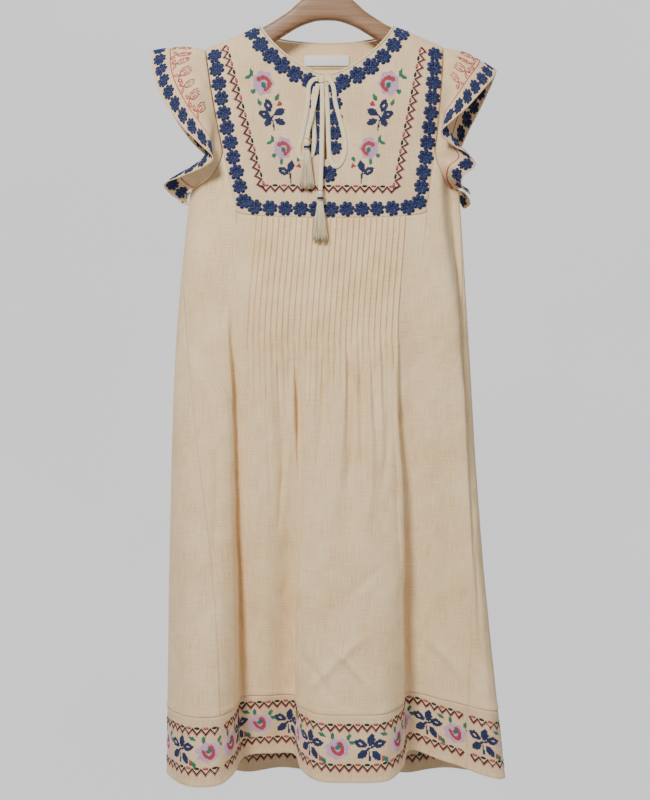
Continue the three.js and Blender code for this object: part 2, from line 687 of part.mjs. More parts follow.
// The yoke runs as a band from its inner edge to its outline
function yokeSurface(across, out) {
  const share = crowdedShare(across);
  const outline = yokeOutline(clamp(lerp(0.001, 0.999, share), 0, 1), 0);
  const edge = yokeInnerEdge(clamp(share, 0, 1));
  const x = lerp(edge.x, outline.x, out);
  const z = Math.min(lerp(edge.y, outline.y, out), shoulderZ(x) - 2e-3);
  const at = onBody('front', x, z);
  return onBodySheet(at.place, at.level);
}

function frontYoke() {
  const left = outlineShares(-1);
  const right = outlineShares(1).reverse();
  const shoulder = shares(10).slice(0, -1).map((along) => left[0] * along ** 2);
  const foot = shares(14).slice(1, -1).map((along) => lerp(left.at(-1), right[0], along));
  const slitFoot = [slitFootShare, 0.5, 1 - slitFootShare];
  const besideSlit = foot.filter((share) => Math.abs(share - 0.5) > 0.016);
  const middle = [...besideSlit, ...slitFoot].sort((a, b) => a - b);
  const last = right.at(-1);
  const farShoulder = shares(10).slice(1).map((along) => 1 - (1 - last) * (1 - along) ** 2);
  const columns = [...shoulder, ...left, ...middle, ...right, ...farShoulder];
  const places = columns.map((share) => solve(share, 0, 1, crowdedShare));
  const rows = grid(places, [0, 0.12, 0.35, 0.65, 0.9, 1]);
  return clothWall(yokeSurface, rows, rows);
}

// The back yoke, from the neck and shoulders to its seam
function backYokeSurface(across, down) {
  const reach = yokeLine.getPointAt(1).x;
  const end = yokeLine.getPointAt(0).x;
  const topX = lerp(reach, end, across);
  const overNeck = Math.abs(topX) < neckPointX;
  const topZ = (overNeck ? backNeckZ(topX) : shoulderZ(topX)) - 2e-3;
  const footRight = yokeLine.getPointAt(yokeShareAtZ(1, backYokeFootZ)).x;
  const footLeft = yokeLine.getPointAt(yokeShareAtZ(-1, backYokeFootZ)).x;
  const drop = down * down;
  const x = lerp(topX, lerp(footRight, footLeft, across), drop);
  const z = Math.min(lerp(topZ, backYokeFootZ, drop), shoulderZ(x) - 2e-3);
  const at = onBody('back', x, z);
  return onBodySheet(at.place, at.level);
}

function backYoke() {
  const [reach, end] = [yokeLine.getPointAt(1).x, yokeLine.getPointAt(0).x];
  const half = [1, 16, 34, 54, 72, 84, 91, 95.5, 98, 99.4, 100, 104, 114, 130, 150];
  const places = [...[...half].reverse(), ...half.map((x) => -x)].map((x) => (x - reach) / (end - reach));
  const rows = grid([0, ...places, 1], [0, 0.2, 0.4, 0.7, 1]);
  return clothWall(backYokeSurface, rows, rows);
}

// Armhole seam of a sleeve, from the front underarm over the shoulder to the back underarm
function sleeveSeam(side, share) {
  const face = share < 0.5 ? 'front' : 'back';
  const along = share < 0.5 ? share * 2 : 2 - share * 2;
  const armholeShare = 0.4;
  const start = 0.12;
  if (along < armholeShare) {
    const at = armholeCurve(face, side, lerp(start, 1, along / armholeShare), sleeveSeamGap);
    return body(at.place, at.level);
  }
  const corner = yokeShareAtZ(side, armholeCornerZ);
  const rise = (along - armholeShare) / (1 - armholeShare);
  const tip = side < 0 ? 0.0005 : 0.9995;
  const edge = yokeOutline(lerp(corner, tip, 1 - (1 - rise) ** 1.6), sleeveSeamGap);
  const z = Math.min(edge.y, shoulderZ(edge.x) - 1e-3);
  const at = onBody(face, edge.x, z);
  return body(at.place, at.level);
}

// Free edge of a sleeve at a share of the seam
function sleeveEdge(table, share) {
  const last = table.length - 1;
  const first = clamp(table.findIndex((row) => row.share > share) - 1, 0, last - 1);
  const from = share >= 1 ? last - 1 : first;
  const near = [-1, 0, 1, 2].map((offset) => table[clamp(from + offset, 0, last)]);
  const local = (share - table[from].share) / (table[from + 1].share - table[from].share);
  const at = ['x', 'y', 'z'].map((axis) => spline(...near.map((row) => row[axis]), local));
  return new THREE.Vector3(...at);
}

// The ruffle leaves the seam outwards, crowns, and falls to its free edge
function sleeveSurface(side, table, share, out) {
  const seam = sleeveSeam(side, share);
  const edge = sleeveEdge(table, share);
  const facing = Math.sign(0.5 - share) * Math.min(1, Math.abs(0.5 - share) * 8);
  const crown = seam.clone().lerp(edge, 0.45);
  crown.add(new THREE.Vector3(side * 0.7, -facing * 0.8, 0.45).multiplyScalar(sleeveCrown));
  const rest = 1 - out;
  const point = seam.multiplyScalar(rest * rest);
  point.addScaledVector(crown, 2 * rest * out).addScaledVector(edge, out * out);
  const wave = (1 - Math.cos(sleevePuckers * 2 * Math.PI * share)) / 2;
  const fade = Math.sin(Math.PI * Math.min(out * 1.6, 1)) * Math.sin(Math.PI * share);
  const ripple = puckerHeight * wave * fade;
  return point.add(new THREE.Vector3(side * 0.3, -facing, 0.5).multiplyScalar(ripple));
}

function sleeve(side, table) {
  const columns = shares(60);
  const down = [0, 0.18, 0.4, 0.7, 1];
  const across = side < 0 ? (share) => 1 - share : (share) => share;
  const rows = grid(columns, down);
  const sheet = (share, out) => sleeveSurface(side, table, clamp(across(share), 0, 1), clamp(out, 0, 1));
  return clothWall((share, out) => outFrom(sheet, share, out), rows, rows);
}

// Neck binding: an open tube round the neck from one side of the slit to the other
function neckBinding() {
  const path = [];
  const offset = bindingRadius + seamGap + 0.1;
  const addPoint = (face, x, z) => {
    const at = onBody(face, x, z);
    const { point, out } = onBodySheet(at.place, at.level);
    path.push(point.addScaledVector(out, bindingRise));
  };
  const inset = (edgeZ, x) => {
    const slope = (edgeZ(x + 0.5) - edgeZ(x - 0.5));
    const length = Math.hypot(slope, 1);
    return [x - (slope / length) * offset, edgeZ(x) + offset / length];
  };
  const frontXs = [6, 16, 28, 42, 56, 70, 82, 91, 96, 98.8];
  const backXs = [99, 97, 93, 84, 70, 50, 26, 0];
  const neckTip = neckPointX - offset;
  const half = (side) => {
    frontXs.forEach((x) => addPoint('front', ...inset(frontNeckZ, side * x)));
    addPoint('front', side * neckTip, shoulderZ(neckTip) - 0.01);
    backXs.forEach((x) => addPoint('back', ...inset(backNeckZ, side * x)));
  };
  half(-1);
  const leftHalf = path.splice(0);
  half(1);
  const rightHalf = path.splice(0, path.length - 1).reverse();
  const curve = new THREE.CatmullRomCurve3([...leftHalf, ...rightHalf]);
  return tube(curve, ringShape(bindingRadius, bindingRadius, 6), 48);
}

function ringShape(halfWidth, halfHeight, sides) {
  const points = Array.from({ length: sides }, (_, i) => {
    const turn = ((i + 0.5) / sides) * 2 * Math.PI;
    return new THREE.Vector2(halfWidth * Math.cos(turn), halfHeight * Math.sin(turn));
  });
  return new THREE.Shape(points);
}

function tube(curve, shape, steps) {
  return new THREE.ExtrudeGeometry(shape, { steps, extrudePath: curve, bevelEnabled: false });
}

// Label, sewn on the inside of the back yoke
function neckLabel() {
  const inside = wall / 2 + seamGap + label.thickness / 2 + 0.2;
  const surface = (across, down) => {
    const x = lerp(label.width / 2, -label.width / 2, across);
    const at = onBody('back', x, label.topZ - down * label.height);
    const { point, out } = onBodySheet(at.place, at.level);
    return { point: point.addScaledVector(out, -inside), out };
  };
  const rows = grid(shares(8), shares(2));
  return clothWall(surface, rows, rows, undefined, label.thickness);
}

// A point that stands off the front of the dress
function overFront({ x, z, lift }) {
  const at = onBody('front', x, z);
  const point = body(at.place, at.level);
  return point.setY(point.y - wall / 2 - lift);
}

// Tie pieces
function tieStrip(route) {
  const curve = new THREE.CatmullRomCurve3(route.map(overFront));
  const steps = Math.ceil(curve.getLength() / (2 * tie.width)) + 6;
  return tube(curve, ringShape(tie.thickness / 2, tie.width / 2, 8), steps);
}

function tieKnot() {
  const { radius, height } = knot;
  const profile = [[0, -0.5], [0.72, -0.46], [1, -0.2], [0.9, 0], [1, 0.2], [0.72, 0.46], [0, 0.5]];
  const points = profile.map(([out, up]) => new THREE.Vector2(out * radius, up * height));
  return new THREE.LatheGeometry(points, 12).rotateX(Math.PI / 2).scale(0.8, 0.45, 1);
}

// Solids for joining
function toSolid(geometry) {
  const bare = geometry.clone();
  ['normal', 'uv'].forEach((name) => bare.deleteAttribute(name));
  const merged = mergeVertices(bare, 1e-4);
  return new wasm.Manifold(new wasm.Mesh({
    numProp: 3,
    vertProperties: merged.attributes.position.array,
    triVerts: new Uint32Array(merged.index.array),
  }));
}

function fromSolid(solid) {
  const mesh = solid.getMesh();
  return solidFrom(Array.from(mesh.vertProperties), Array.from(mesh.triVerts));
}

// A tassel: a turned head with a wrapped neck, and strands that part from it downwards
function tassel({ flatten, turn }) {
  const { radius, neck, length } = tasselHead;
  const profile = [[0, 0], [0.5 * radius, -0.4], [0.9 * radius, -3], [radius, -6.5], [neck, -9.5],
    [neck + 0.8, -10.2], [neck + 0.8, -12.4], [neck, -13], [neck + 0.7, -length], [0, -length]];
  const points = profile.reverse().map(([out, z]) => new THREE.Vector2(out, z));
  const head = new THREE.LatheGeometry(points, 9).rotateX(Math.PI / 2);
  let solid = toSolid(head);
  const rootDepth = 2;
  tasselRings.forEach(({ strands, root, tip, length: hang }) => {
    for (let i = 0; i < strands; i += 1) {
      const angle = ((i + turn) / strands) * 2 * Math.PI;
      const strand = new THREE.CylinderGeometry(strandRadius, strandRadius, hang, 3, 1);
      const at = strand.attributes.position;
      for (let v = 0; v < at.count; v += 1) {
        const down = 0.5 - at.getY(v) / hang;
        const spread = lerp(root, tip, down ** 0.8);
        at.setXYZ(v, at.getX(v) + spread * Math.cos(angle), at.getZ(v) + spread * Math.sin(angle),
          rootDepth - length - down * hang);
      }
      const turned = strand.toNonIndexed();
      solid = solid.add(toSolid(flip(turned)));
    }
  });
  return fromSolid(solid).scale(1, flatten, 1);
}

// Faces turned round, for a shape whose axes were swapped
function flip(geometry) {
  const at = geometry.attributes.position;
  for (let v = 0; v < at.count; v += 3) {
    const [x, y, z] = [at.getX(v + 1), at.getY(v + 1), at.getZ(v + 1)];
    at.setXYZ(v + 1, at.getX(v + 2), at.getY(v + 2), at.getZ(v + 2));
    at.setXYZ(v + 2, x, y, z);
  }
  return geometry;
}

// A solid through rings of points, closed at both ends
function loft(rings) {
  const positions = rings.flat().flatMap((point) => [point.x, point.y, point.z]);
  const size = rings[0].length;
  const triangles = [];
  for (let r = 0; r < rings.length - 1; r += 1) {
    for (let i = 0; i < size; i += 1) {
      const [a, b] = [r * size + i, r * size + ((i + 1) % size)];
      triangles.push(a, b, b + size, a, b + size, a + size);
    }
  }
  const lastRing = (rings.length - 1) * size;
  for (let i = 1; i < size - 1; i += 1) {
    triangles.push(0, i + 1, i, lastRing, lastRing + i, lastRing + i + 1);
  }
  return solidFrom(positions, triangles);
}

// Wooden hanger: upright oval sections, crowned on top to carry the shoulder seams
function hangerWood() {
  const half = hangerProfile.map((row) => ({ ...row, top: row.top ?? shoulderZ(row.x) - hangerSeat }));
  const mirrored = half.slice(1).reverse().map((row) => ({ ...row, x: -row.x }));
  const rings = [...mirrored, ...half].map(({ x, top, foot, thick }) => {
    const side = thick / 2;
    const corner = Math.min(hangerCorner, side * 0.8);
    const outline = [[0, top], [side - corner, top - 0.8], [side, top - corner], [side, foot + corner],
      [side - corner, foot], [corner - side, foot], [-side, foot + corner], [-side, top - corner],
      [corner - side, top - 0.8]];
    return outline.reverse().map(([y, z]) => new THREE.Vector3(x, y, z));
  });
  return loft(rings);
}

function hangerHook() {
  const radius = hook.innerRadius + hook.wire / 2;
  const centreZ = -hook.innerRadius;
  const bend = [];
  for (let angle = -52; angle <= hook.tipAngle; angle += 17) {
    const turn = THREE.MathUtils.degToRad(angle);
    bend.push(new THREE.Vector3(radius * Math.cos(turn), 0, centreZ + radius * Math.sin(turn)));
  }
  const stem = [0, 5, 9].map((rise) => new THREE.Vector3(0, 0, hook.stemFootZ + 7.5 + rise));
  const curve = new THREE.CatmullRomCurve3([...stem, ...bend]);
  return tube(curve, ringShape(hook.wire / 2, hook.wire / 2, 8), 28);
}

// The dress and its hanger
const dress = new THREE.Group();

function addPiece(name, geometry, finish, place = new THREE.Vector3()) {
  const mesh = new THREE.Mesh(geometry, new THREE.MeshStandardMaterial(finishes[finish]));
  mesh.name = name;
  mesh.position.copy(place);
  dress.add(mesh);
}

addPiece('front_yoke', frontYoke(), 'cloth');
addPiece('front_panel', frontPanel(), 'cloth');
addPiece('back_yoke', backYoke(), 'cloth');
addPiece('back_panel', backPanel(), 'cloth');
addPiece('front_hem_band', frontBand(), 'trim');
addPiece('back_hem_band', backBand(), 'trim');
addPiece('sleeve_left', sleeve(-1, leftSleeveEdge), 'cloth');
addPiece('sleeve_right', sleeve(1, rightSleeveEdge), 'cloth');
addPiece('neck_binding', neckBinding(), 'trim');
addPiece('neck_label', neckLabel(), 'label');
addPiece('tie_knot', tieKnot(), 'trim', overFront(knot));
Object.entries(tieRoutes).forEach(([name, route]) => addPiece(name, tieStrip(route), 'trim'));
Object.entries(tassels).forEach(([name, row]) => addPiece(name, tassel(row), 'trim', overFront(row)));
addPiece('hanger_wood', hangerWood(), 'wood');
addPiece('hanger_hook', hangerHook(), 'steel');

export default dress;
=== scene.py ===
"""Looks of a peasant dress on a wooden hanger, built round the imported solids.

Sizes are in millimetres until a mesh is made. The front faces -Y, +X is on the viewer's right and
+Z is up. The cloth lies on the same net of folds as the solids, as thin shells with a finer grid.
"""
import math

import bpy
import numpy as np
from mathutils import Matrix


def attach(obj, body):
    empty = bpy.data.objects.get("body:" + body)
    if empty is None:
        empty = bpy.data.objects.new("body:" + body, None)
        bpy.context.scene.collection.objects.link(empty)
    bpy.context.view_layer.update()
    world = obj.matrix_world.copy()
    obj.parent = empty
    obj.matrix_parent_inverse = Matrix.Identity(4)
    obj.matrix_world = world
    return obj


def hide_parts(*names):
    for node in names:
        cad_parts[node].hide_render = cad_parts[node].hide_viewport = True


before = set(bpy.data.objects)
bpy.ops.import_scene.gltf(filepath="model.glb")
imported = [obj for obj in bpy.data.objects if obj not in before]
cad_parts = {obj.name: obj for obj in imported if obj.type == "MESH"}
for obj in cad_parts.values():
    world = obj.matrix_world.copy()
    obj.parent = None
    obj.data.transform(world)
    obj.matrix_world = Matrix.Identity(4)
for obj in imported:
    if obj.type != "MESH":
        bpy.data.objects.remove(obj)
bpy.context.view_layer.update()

MM = 0.001
CLOTH = 1.0
SEAM_GAP = 0.3
STEP = 1e-3
rng = np.random.default_rng(11)

# Shoulders, neckline and slit
NECK_X = 100
NECK_Z = -111
SHOULDER_SLOPE = 0.42
SHOULDER_ROLL = 70
FRONT_NECK_DEPTH = 84
BACK_NECK_DEPTH = 16
NECK_ROUNDNESS = 1.5
BACK_NECK_ROUNDNESS = 2.4
SLIT_X = -2
SLIT_WIDTH = 3.4
SLIT_FOOT_Z = -316
SLIT_TOP_SHARE = 0.28
SLIT_FOOT_SHARE = 0.49

# Bib yoke: half width and height of its edge, top to foot, and how far it leans to the right
SHOULDER_HALF = 175.5
YOKE_EDGE = ((164, -240), (154.5, -300), (146, -345), (139, -380), (124, -397))
YOKE_FOOT_Z = -402
YOKE_LEAN_TOP = -4
YOKE_LEAN_FOOT = 7
ARMHOLE_CORNER_Z = -302
BACK_YOKE_FOOT_Z = -165
YOKE_LIFT = 0.5

# Pintucks: a ridge's offsets across it, at the tuck ends, and its heights there
TUCK_COUNT = 27
TUCK_PITCH = 8.3
TUCK_LEAD_X = -116
TUCK_OFFSETS = (-1.7, -1.25, -0.6, 0.1, 0.7, 1.25, 2.5, 4.3)
TUCK_HEIGHTS = (0, 1.9, 2.8, 2.6, 1.4, 0, 0, 0)
FOLD_HEIGHT = 4.2

# Levels down the body
UNDERARM = 0.72
TUCK_END = 2.0
BAND_TOP = 3.64
HEM = 4.0
LEVEL_Z = (-280, -398, -596, -880)

# Folds round the body from the left side over the front to the right side and back behind:
# x and y at the chest, yoke foot, tuck ends, mid skirt and hem, and the height of the hem
FOLDS = np.array((
    (-192, -2, -207, -6, -223, -16, -230, -26, -232, -42, -1206),
    (-178, -22, -190, -28, -196, -44, -200, -64, -200, -94, -1205),
    (-158, -32, -162, -37, -164, -51, -160, -74, -156, -101, -1204),
    (-138, -36, -140, -40, -148, -50, -141, -62, -134, -72, -1198),
    (-118, -37, -117, -41, -130, -44, -130, -36, -122, -22, -1190),
    (-84, -38, -83, -43, -96, -50, -88, -49, -86, -16, -1187),
    (-52, -38, -51, -44, -64, -50, -55, -36, -50, -20, -1187),
    (-22, -38, -21, -44, -34, -53, -38, -60, -37, -68, -1193),
    (14, -38, 15, -44, 2, -55, -8, -76, -10, -99, -1198),
    (48, -38, 49, -44, 36, -55, 36, -79, 36, -103, -1199),
    (80, -37, 81, -43, 68, -55, 76, -76, 82, -98, -1198),
    (108, -36, 109, -42, 96, -53, 101, -62, 107, -66, -1191),
    (128, -35, 128, -40, 118, -45, 117, -32, 122, -20, -1181),
    (146, -33, 148, -38, 152, -46, 160, -40, 168, -30, -1192),
    (164, -28, 168, -34, 186, -42, 208, -46, 222, -56, -1204),
    (176, -14, 181, -10, 200, -24, 222, -34, 246, -58, -1210),
    (190, 0, 199, -2, 211, -4, 227, -10, 257, -38, -1213),
    (182, 16, 190, 20, 200, 22, 212, 20, 232, 10, -1224),
    (150, 27, 154, 34, 160, 40, 170, 44, 180, 46, -1230),
    (102, 28, 104, 29, 108, 29, 112, 28, 118, 26, -1230),
    (52, 28, 54, 34, 56, 41, 58, 46, 60, 50, -1231),
    (0, 28, 0, 29, 0, 31, -2, 31, -4, 30, -1230),
    (-52, 28, -54, 34, -57, 41, -62, 46, -66, 50, -1231),
    (-102, 28, -106, 29, -111, 29, -116, 28, -122, 26, -1229),
    (-150, 27, -156, 32, -166, 36, -174, 40, -178, 44, -1226),
    (-184, 14, -196, 16, -210, 14, -219, 12, -222, 6, -1216),
), float)
FOLD_COUNT = len(FOLDS)
RIGHT_SIDE = 16
LEFT_SEAM = (0, 2.35)
RIGHT_SEAM = (RIGHT_SIDE, RIGHT_SIDE - 2.4)

# Gathers below the tuck ends: place across, half width, depth and how far down they fade
GATHERS = (
    (-106, 4, 3, 0.5), (-90, 6, 5.5, 0.8), (-72, 4, 3, 0.4), (-56, 5.5, 4.5, 0.65),
    (-39, 4.5, 5.5, 0.6), (-22, 4, 3, 0.4), (-6, 5, 3.5, 0.5), (10, 4.5, 5, 0.5),
    (31, 6, 4.5, 0.65), (49, 4.5, 3.5, 0.4), (66, 5, 3.5, 0.5), (82, 4, 3, 0.4),
    (94, 4.5, 5.5, 0.9),
)
GATHER_START = 2.03
GATHER_FULL = 2.14

# Creases in the front and back view: both ends, height (a trough is below 0) and half width
FRONT_CREASES = (
    (-36, -1092, 74, -986, 5, 4), (-9, -1003, 64, -1078, 4.6, 4), (-40, -1026, 12, -1092, -3.4, 5),
    (16, -962, 98, -890, -2.4, 6), (-83, -946, -36, -1078, 2.4, 5), (131, -1003, 204, -1078, 3.2, 6),
    (138, -890, 196, -1008, -1.8, 8), (-203, -834, -156, -1008, 1.7, 8), (-209, -1004, -148, -948, -1.6, 7),
    (-124, -762, -90, -894, -1.6, 9), (74, -706, 104, -838, 1.6, 8), (124, -440, 182, -570, -2.2, 9),
    (131, -524, 176, -696, 1.8, 9), (-166, -424, -202, -570, 2.2, 9), (-144, -452, -160, -584, -2.0, 8),
    (-60, -700, -22, -842, 1.4, 9), (20, -690, 34, -850, -1.3, 9), (44, -1060, 92, -1102, 1.2, 5),
    (-86, -530, -78, -900, -4, 4), (-62, -530, -56, -990, -7, 7), (-16, -540, -18, -780, -4, 4),
    (22, -540, 24, -820, -5, 4), (74, -540, 72, -830, -4, 4), (84, -640, 88, -1000, 3, 9),
    (-70, -560, -64, -840, 3.2, 5), (8, -560, 4, -860, 3.2, 6), (44, -560, 50, -900, 3, 6),
    (-184, -400, -188, -640, -2.5, 6), (-190, -480, -184, -1060, -3.5, 8), (150, -640, 160, -1040, -2.5, 9),
    (190, -620, 206, -980, 2.5, 7), (-176, -640, -170, -1000, -2.5, 6),
)
BACK_CREASES = (
    (-130, -420, -60, -640, 2.0, 12), (120, -430, 70, -660, -2.0, 12), (-30, -560, 40, -700, 1.4, 10),
    (-60, -860, 60, -980, 2.0, 8), (70, -850, -20, -1010, -1.8, 8), (-170, -900, -110, -1060, 1.8, 9),
    (120, -900, 178, -1050, -1.8, 9), (20, -260, 90, -330, 1.2, 9), (-100, -250, -30, -330, -1.2, 9),
)
# Edges where a fold of the front laps over the next: both ends, rise, and the side of the drop
FRONT_LAPS = (
    (-144, -500, -131, -1092, 6, 1), (-35, -590, -41, -1092, 6, -1), (97, -560, 109, -1092, 6, 1),
    (-93, -575, -88, -880, 3.5, -1), (62, -575, 56, -760, 3, -1), (178, -330, 214, -980, 4, 1),
)
LAP_GENTLE = 13
LAP_STEEP = 2.6
# Slight unevenness of hung cloth: height, wavelength, direction and phase
WAVES = ((0.5, 83, 0.12, 0.4), (0.42, 57, -0.2, 2.1), (0.3, 41, 0.5, 4.0), (0.4, 127, 1.1, 1.3),
         (0.25, 33, -0.7, 5.2))

# Free edges of the sleeves: share of the armhole seam, then x, y and z
LEFT_SLEEVE = np.array((
    (0.0, -208, -8, -374), (0.06, -226, -16, -366), (0.12, -238, -34, -352), (0.17, -212, -47, -344),
    (0.215, -180, -56, -333), (0.25, -163, -65, -321), (0.285, -182, -67, -301), (0.33, -209, -60, -273),
    (0.385, -238, -48, -230), (0.44, -254, -28, -188), (0.5, -261, 0, -146), (0.56, -254, 26, -180),
    (0.62, -240, 44, -222), (0.69, -212, 56, -264), (0.75, -178, 60, -300), (0.8, -186, 52, -326),
    (0.86, -216, 44, -346), (0.92, -226, 28, -364), (1.0, -208, 14, -374),
))
RIGHT_SLEEVE = np.array((
    (0.0, 212, -12, -362), (0.06, 198, -30, -356), (0.12, 198, -39, -341), (0.17, 216, -38, -324),
    (0.21, 204, -45, -310), (0.25, 180, -53, -299), (0.285, 163, -62, -284), (0.325, 180, -63, -266),
    (0.37, 204, -53, -243), (0.42, 228, -37, -214), (0.46, 244, -19, -194), (0.5, 253, 2, -176),
    (0.56, 248, 24, -192), (0.62, 234, 40, -222), (0.69, 214, 52, -262), (0.75, 196, 60, -312),
    (0.81, 206, 56, -352), (0.87, 210, 46, -372), (0.93, 218, 30, -368), (1.0, 210, 12, -366),
))
SLEEVE_CROWN = 15
SLEEVE_SEAM_GAP = 1.7
SLEEVE_PUCKERS = 13
PUCKER_HEIGHT = 3.0
SLEEVE_SAMPLES = 601
CROWN_SHARE = 0.45

# Tie, knot, tassels, label and binding. A route's points are x, z and how far off the yoke
TIE_WIDTH = 6.4
TIE_THICKNESS = 2.2
TIE_ROUTES = {
    "tie_loop_left": (
        (-12.9, -200.4, 1.5), (-20, -201.2, 1.5), (-26.5, -211, 1.5), (-28, -232, 1.5), (-31, -256, 1.5),
        (-37, -284, 1.5), (-41, -304, 1.5), (-38, -315, 1.5), (-30, -318, 1.5), (-22, -310, 1.5),
        (-18.5, -290, 1.5), (-19.5, -262, 1.5), (-20, -236, 1.5), (-18.6, -220, 1.5), (-16.8, -211.5, 1.5),
    ),
    "tie_loop_right": (
        (-3.1, -200.6, 1.5), (3.5, -201.4, 1.5), (9.2, -212, 1.5), (12, -234, 1.5), (19.5, -262, 1.5),
        (26, -290, 1.5), (25.5, -308, 1.5), (20, -322, 1.5), (11.5, -327.5, 1.5), (5, -318, 1.5),
        (2.5, -300, 1.5), (1.5, -268, 1.5), (0.5, -240, 1.5), (-0.6, -222, 1.5), (-1.4, -212, 1.5),
    ),
    "tie_tail_left": (
        (-13.4, -207.8, 4.2), (-14.6, -216, 4.8), (-17.5, -232, 5.2), (-22, -254, 6.6), (-27, -274, 8.2),
        (-29, -289, 9.2),
    ),
    "tie_tail_right": (
        (-7.5, -207.3, 4.2), (-7, -222, 4.2), (-7, -250, 4.2), (-7.6, -285, 4.2), (-8.4, -320, 6.2),
        (-9.2, -348, 8.8), (-9.8, -364, 9.8),
    ),
}
KNOT = (-8, -201, 2.9)
KNOT_PROFILE = ((0.5, -5.5), (2.6, -5.3), (4.1, -4.2), (4.6, -2.4), (4.2, -0.5), (4.3, 0.6), (4.7, 2.4),
                (4.1, 4.3), (2.6, 5.3), (0.5, 5.5))
KNOT_FLATNESS = 0.56
TASSELS = {"tassel_left": (-29.3, -289.6, 9.4), "tassel_right": (-9.9, -364.6, 10.8)}
TASSEL_HEAD = ((0.6, 0), (2.1, -0.5), (3.5, -2), (4.2, -4.4), (4.1, -6.6), (3.3, -9), (3.2, -13), (3.6, -15))
TASSEL_FLATNESS = 0.85
STRANDS = 110
STRAND_SEGMENTS = 9
STRAND_RADIUS = 0.45
STRAND_LENGTHS = (53, 59)
STRAND_TOP = -13.5
FRINGE_RADII = (2.9, 11.2)
FRINGE_FLATNESS = 0.42
GOLDEN_ANGLE = 2.39996
WRAP_TURNS = 4
WRAP_RADII = (4.0, 3.5)
WRAP_HEIGHTS = (-9.6, -12.8)
LABEL_WIDTH = 69
LABEL_HEIGHT = 16
LABEL_THICKNESS = 0.7
LABEL_TOP_Z = -144
BINDING_RADIUS = 1.4
BINDING_SIDES = 12
BINDING_STEPS = 241

# Hanger: distance from the middle, upper edge, lower edge and thickness
HANGER = np.array((
    (0, -55, -100, 16), (16, -57, -101, 16), (30, -64, -105, 16), (42, -74, -110, 16), (56, -87, -118, 16),
    (74, -99, -129, 16), (92, -109.5, -139, 15), (104, -113.98, -144, 14), (126, -123.22, -153, 14),
    (150, -133.3, -161, 13), (164, -139.18, -163, 10), (170, -141.7, -157, 6),
))
HANGER_HALF = 170
HANGER_TIP_START = 164
HANGER_TIP_LENGTH = 6.01
HANGER_SIDES = 40
HOOK_WIRE = 4
HOOK_INNER_RADIUS = 20


# Small helpers
def mix(a, b, share):
    return a + (b - a) * share


def smooth(value, low, high):
    share = np.clip((value - low) / (high - low), 0, 1)
    return share * share * (3 - 2 * share)


def unit(vectors):
    return vectors / np.maximum(np.linalg.norm(vectors, axis=-1, keepdims=True), 1e-9)


def spline(a, b, c, d, share):
    bend = 2 * a - 5 * b + 4 * c - d + share * (3 * (b - c) + d - a)
    return b + 0.5 * share * (c - a + share * bend)


def lengths(points):
    """Distance along a row of points, from its start."""
    gaps = np.linalg.norm(np.diff(points, axis=0), axis=1)
    return np.concatenate([[0], np.cumsum(gaps)])


class Line:
    """A smooth line through points, read by its share of the length."""

    def __init__(self, points, count=900):
        points = np.asarray(points, float)
        padded = np.vstack([points[:1], points, points[-1:]])
        places = np.linspace(0, len(points) - 1, count)
        first = np.minimum(places.astype(int), len(points) - 2)
        near = [padded[first + k] for k in range(4)]
        self.points = spline(*near, (places - first)[:, None])
        self.length = lengths(self.points)[-1]
        self.shares = lengths(self.points) / self.length

    def at(self, share):
        axes = range(self.points.shape[1])
        return np.stack([np.interp(share, self.shares, self.points[:, k]) for k in axes], -1)

    def heading(self, share):
        low = np.clip(share - STEP, 0, 1)
        high = np.clip(share + STEP, 0, 1)
        return unit(self.at(high) - self.at(low))


# Body: a net of folds by levels, smooth both ways
NET = np.stack([
    np.stack([FOLDS[:, 2 * k], FOLDS[:, 2 * k + 1],
              FOLDS[:, 10] if k == 4 else np.full(FOLD_COUNT, LEVEL_Z[k])], -1)
    for k in range(5)
])


def level_point(place, level):
    first = np.floor(place).astype(int)
    row = np.clip(level, 0, 4)
    near = [NET[row, (first + k) % FOLD_COUNT] for k in (-1, 0, 1, 2)]
    return spline(*near, (place - first)[..., None])


def net_point(place, level):
    first = np.clip(np.floor(level).astype(int), 0, 3)
    near = [level_point(place, first + k) for k in (-1, 0, 1, 2)]
    return spline(*near, (level - first)[..., None])


def shoulder_z(x):
    return NECK_Z - SHOULDER_SLOPE * (np.abs(x) - NECK_X)


def gather_depth(place, level):
    x = level_point(place, 2)[..., 0]
    depth = np.zeros(np.shape(place))
    for centre, width, deep, reach in GATHERS:
        depth += deep * np.exp(-(((level - TUCK_END) / reach) ** 2) - ((x - centre) / width) ** 2)
    swell = np.clip((level - GATHER_START) / (GATHER_FULL - GATHER_START), 0, 1)
    return np.where(place > RIGHT_SIDE, 0, depth * swell)


def body(place, level):
    below = np.maximum(level, 0)
    at = net_point(place, below)
    at[..., 1] += gather_depth(place, below)
    chest = level_point(place, 0)
    top = shoulder_z(chest[..., 0])
    drop = (top - chest[..., 2]) * (1 + level)
    rest = 1 - np.clip(drop / SHOULDER_ROLL, 0, 1)
    over = np.stack([chest[..., 0], chest[..., 1] * np.sqrt(1 - rest * rest), top - drop], -1)
    return np.where((level < 0)[..., None], over, at)


def crease_height(table, x, z):
    total = np.zeros(np.shape(x))
    for x0, z0, x1, z1, height, width in table:
        dx, dz = x1 - x0, z1 - z0
        length = math.hypot(dx, dz)
        along = ((x - x0) * dx + (z - z0) * dz) / length ** 2
        off = ((x - x0) * dz - (z - z0) * dx) / length
        off = off + 0.05 * length * np.sin(math.pi * np.clip(along, 0, 1))
        taper = smooth(along, 0, 0.35) * smooth(1 - along, 0, 0.35)
        total += height * taper * np.exp(-((np.abs(off) / width) ** 1.4))
    return total


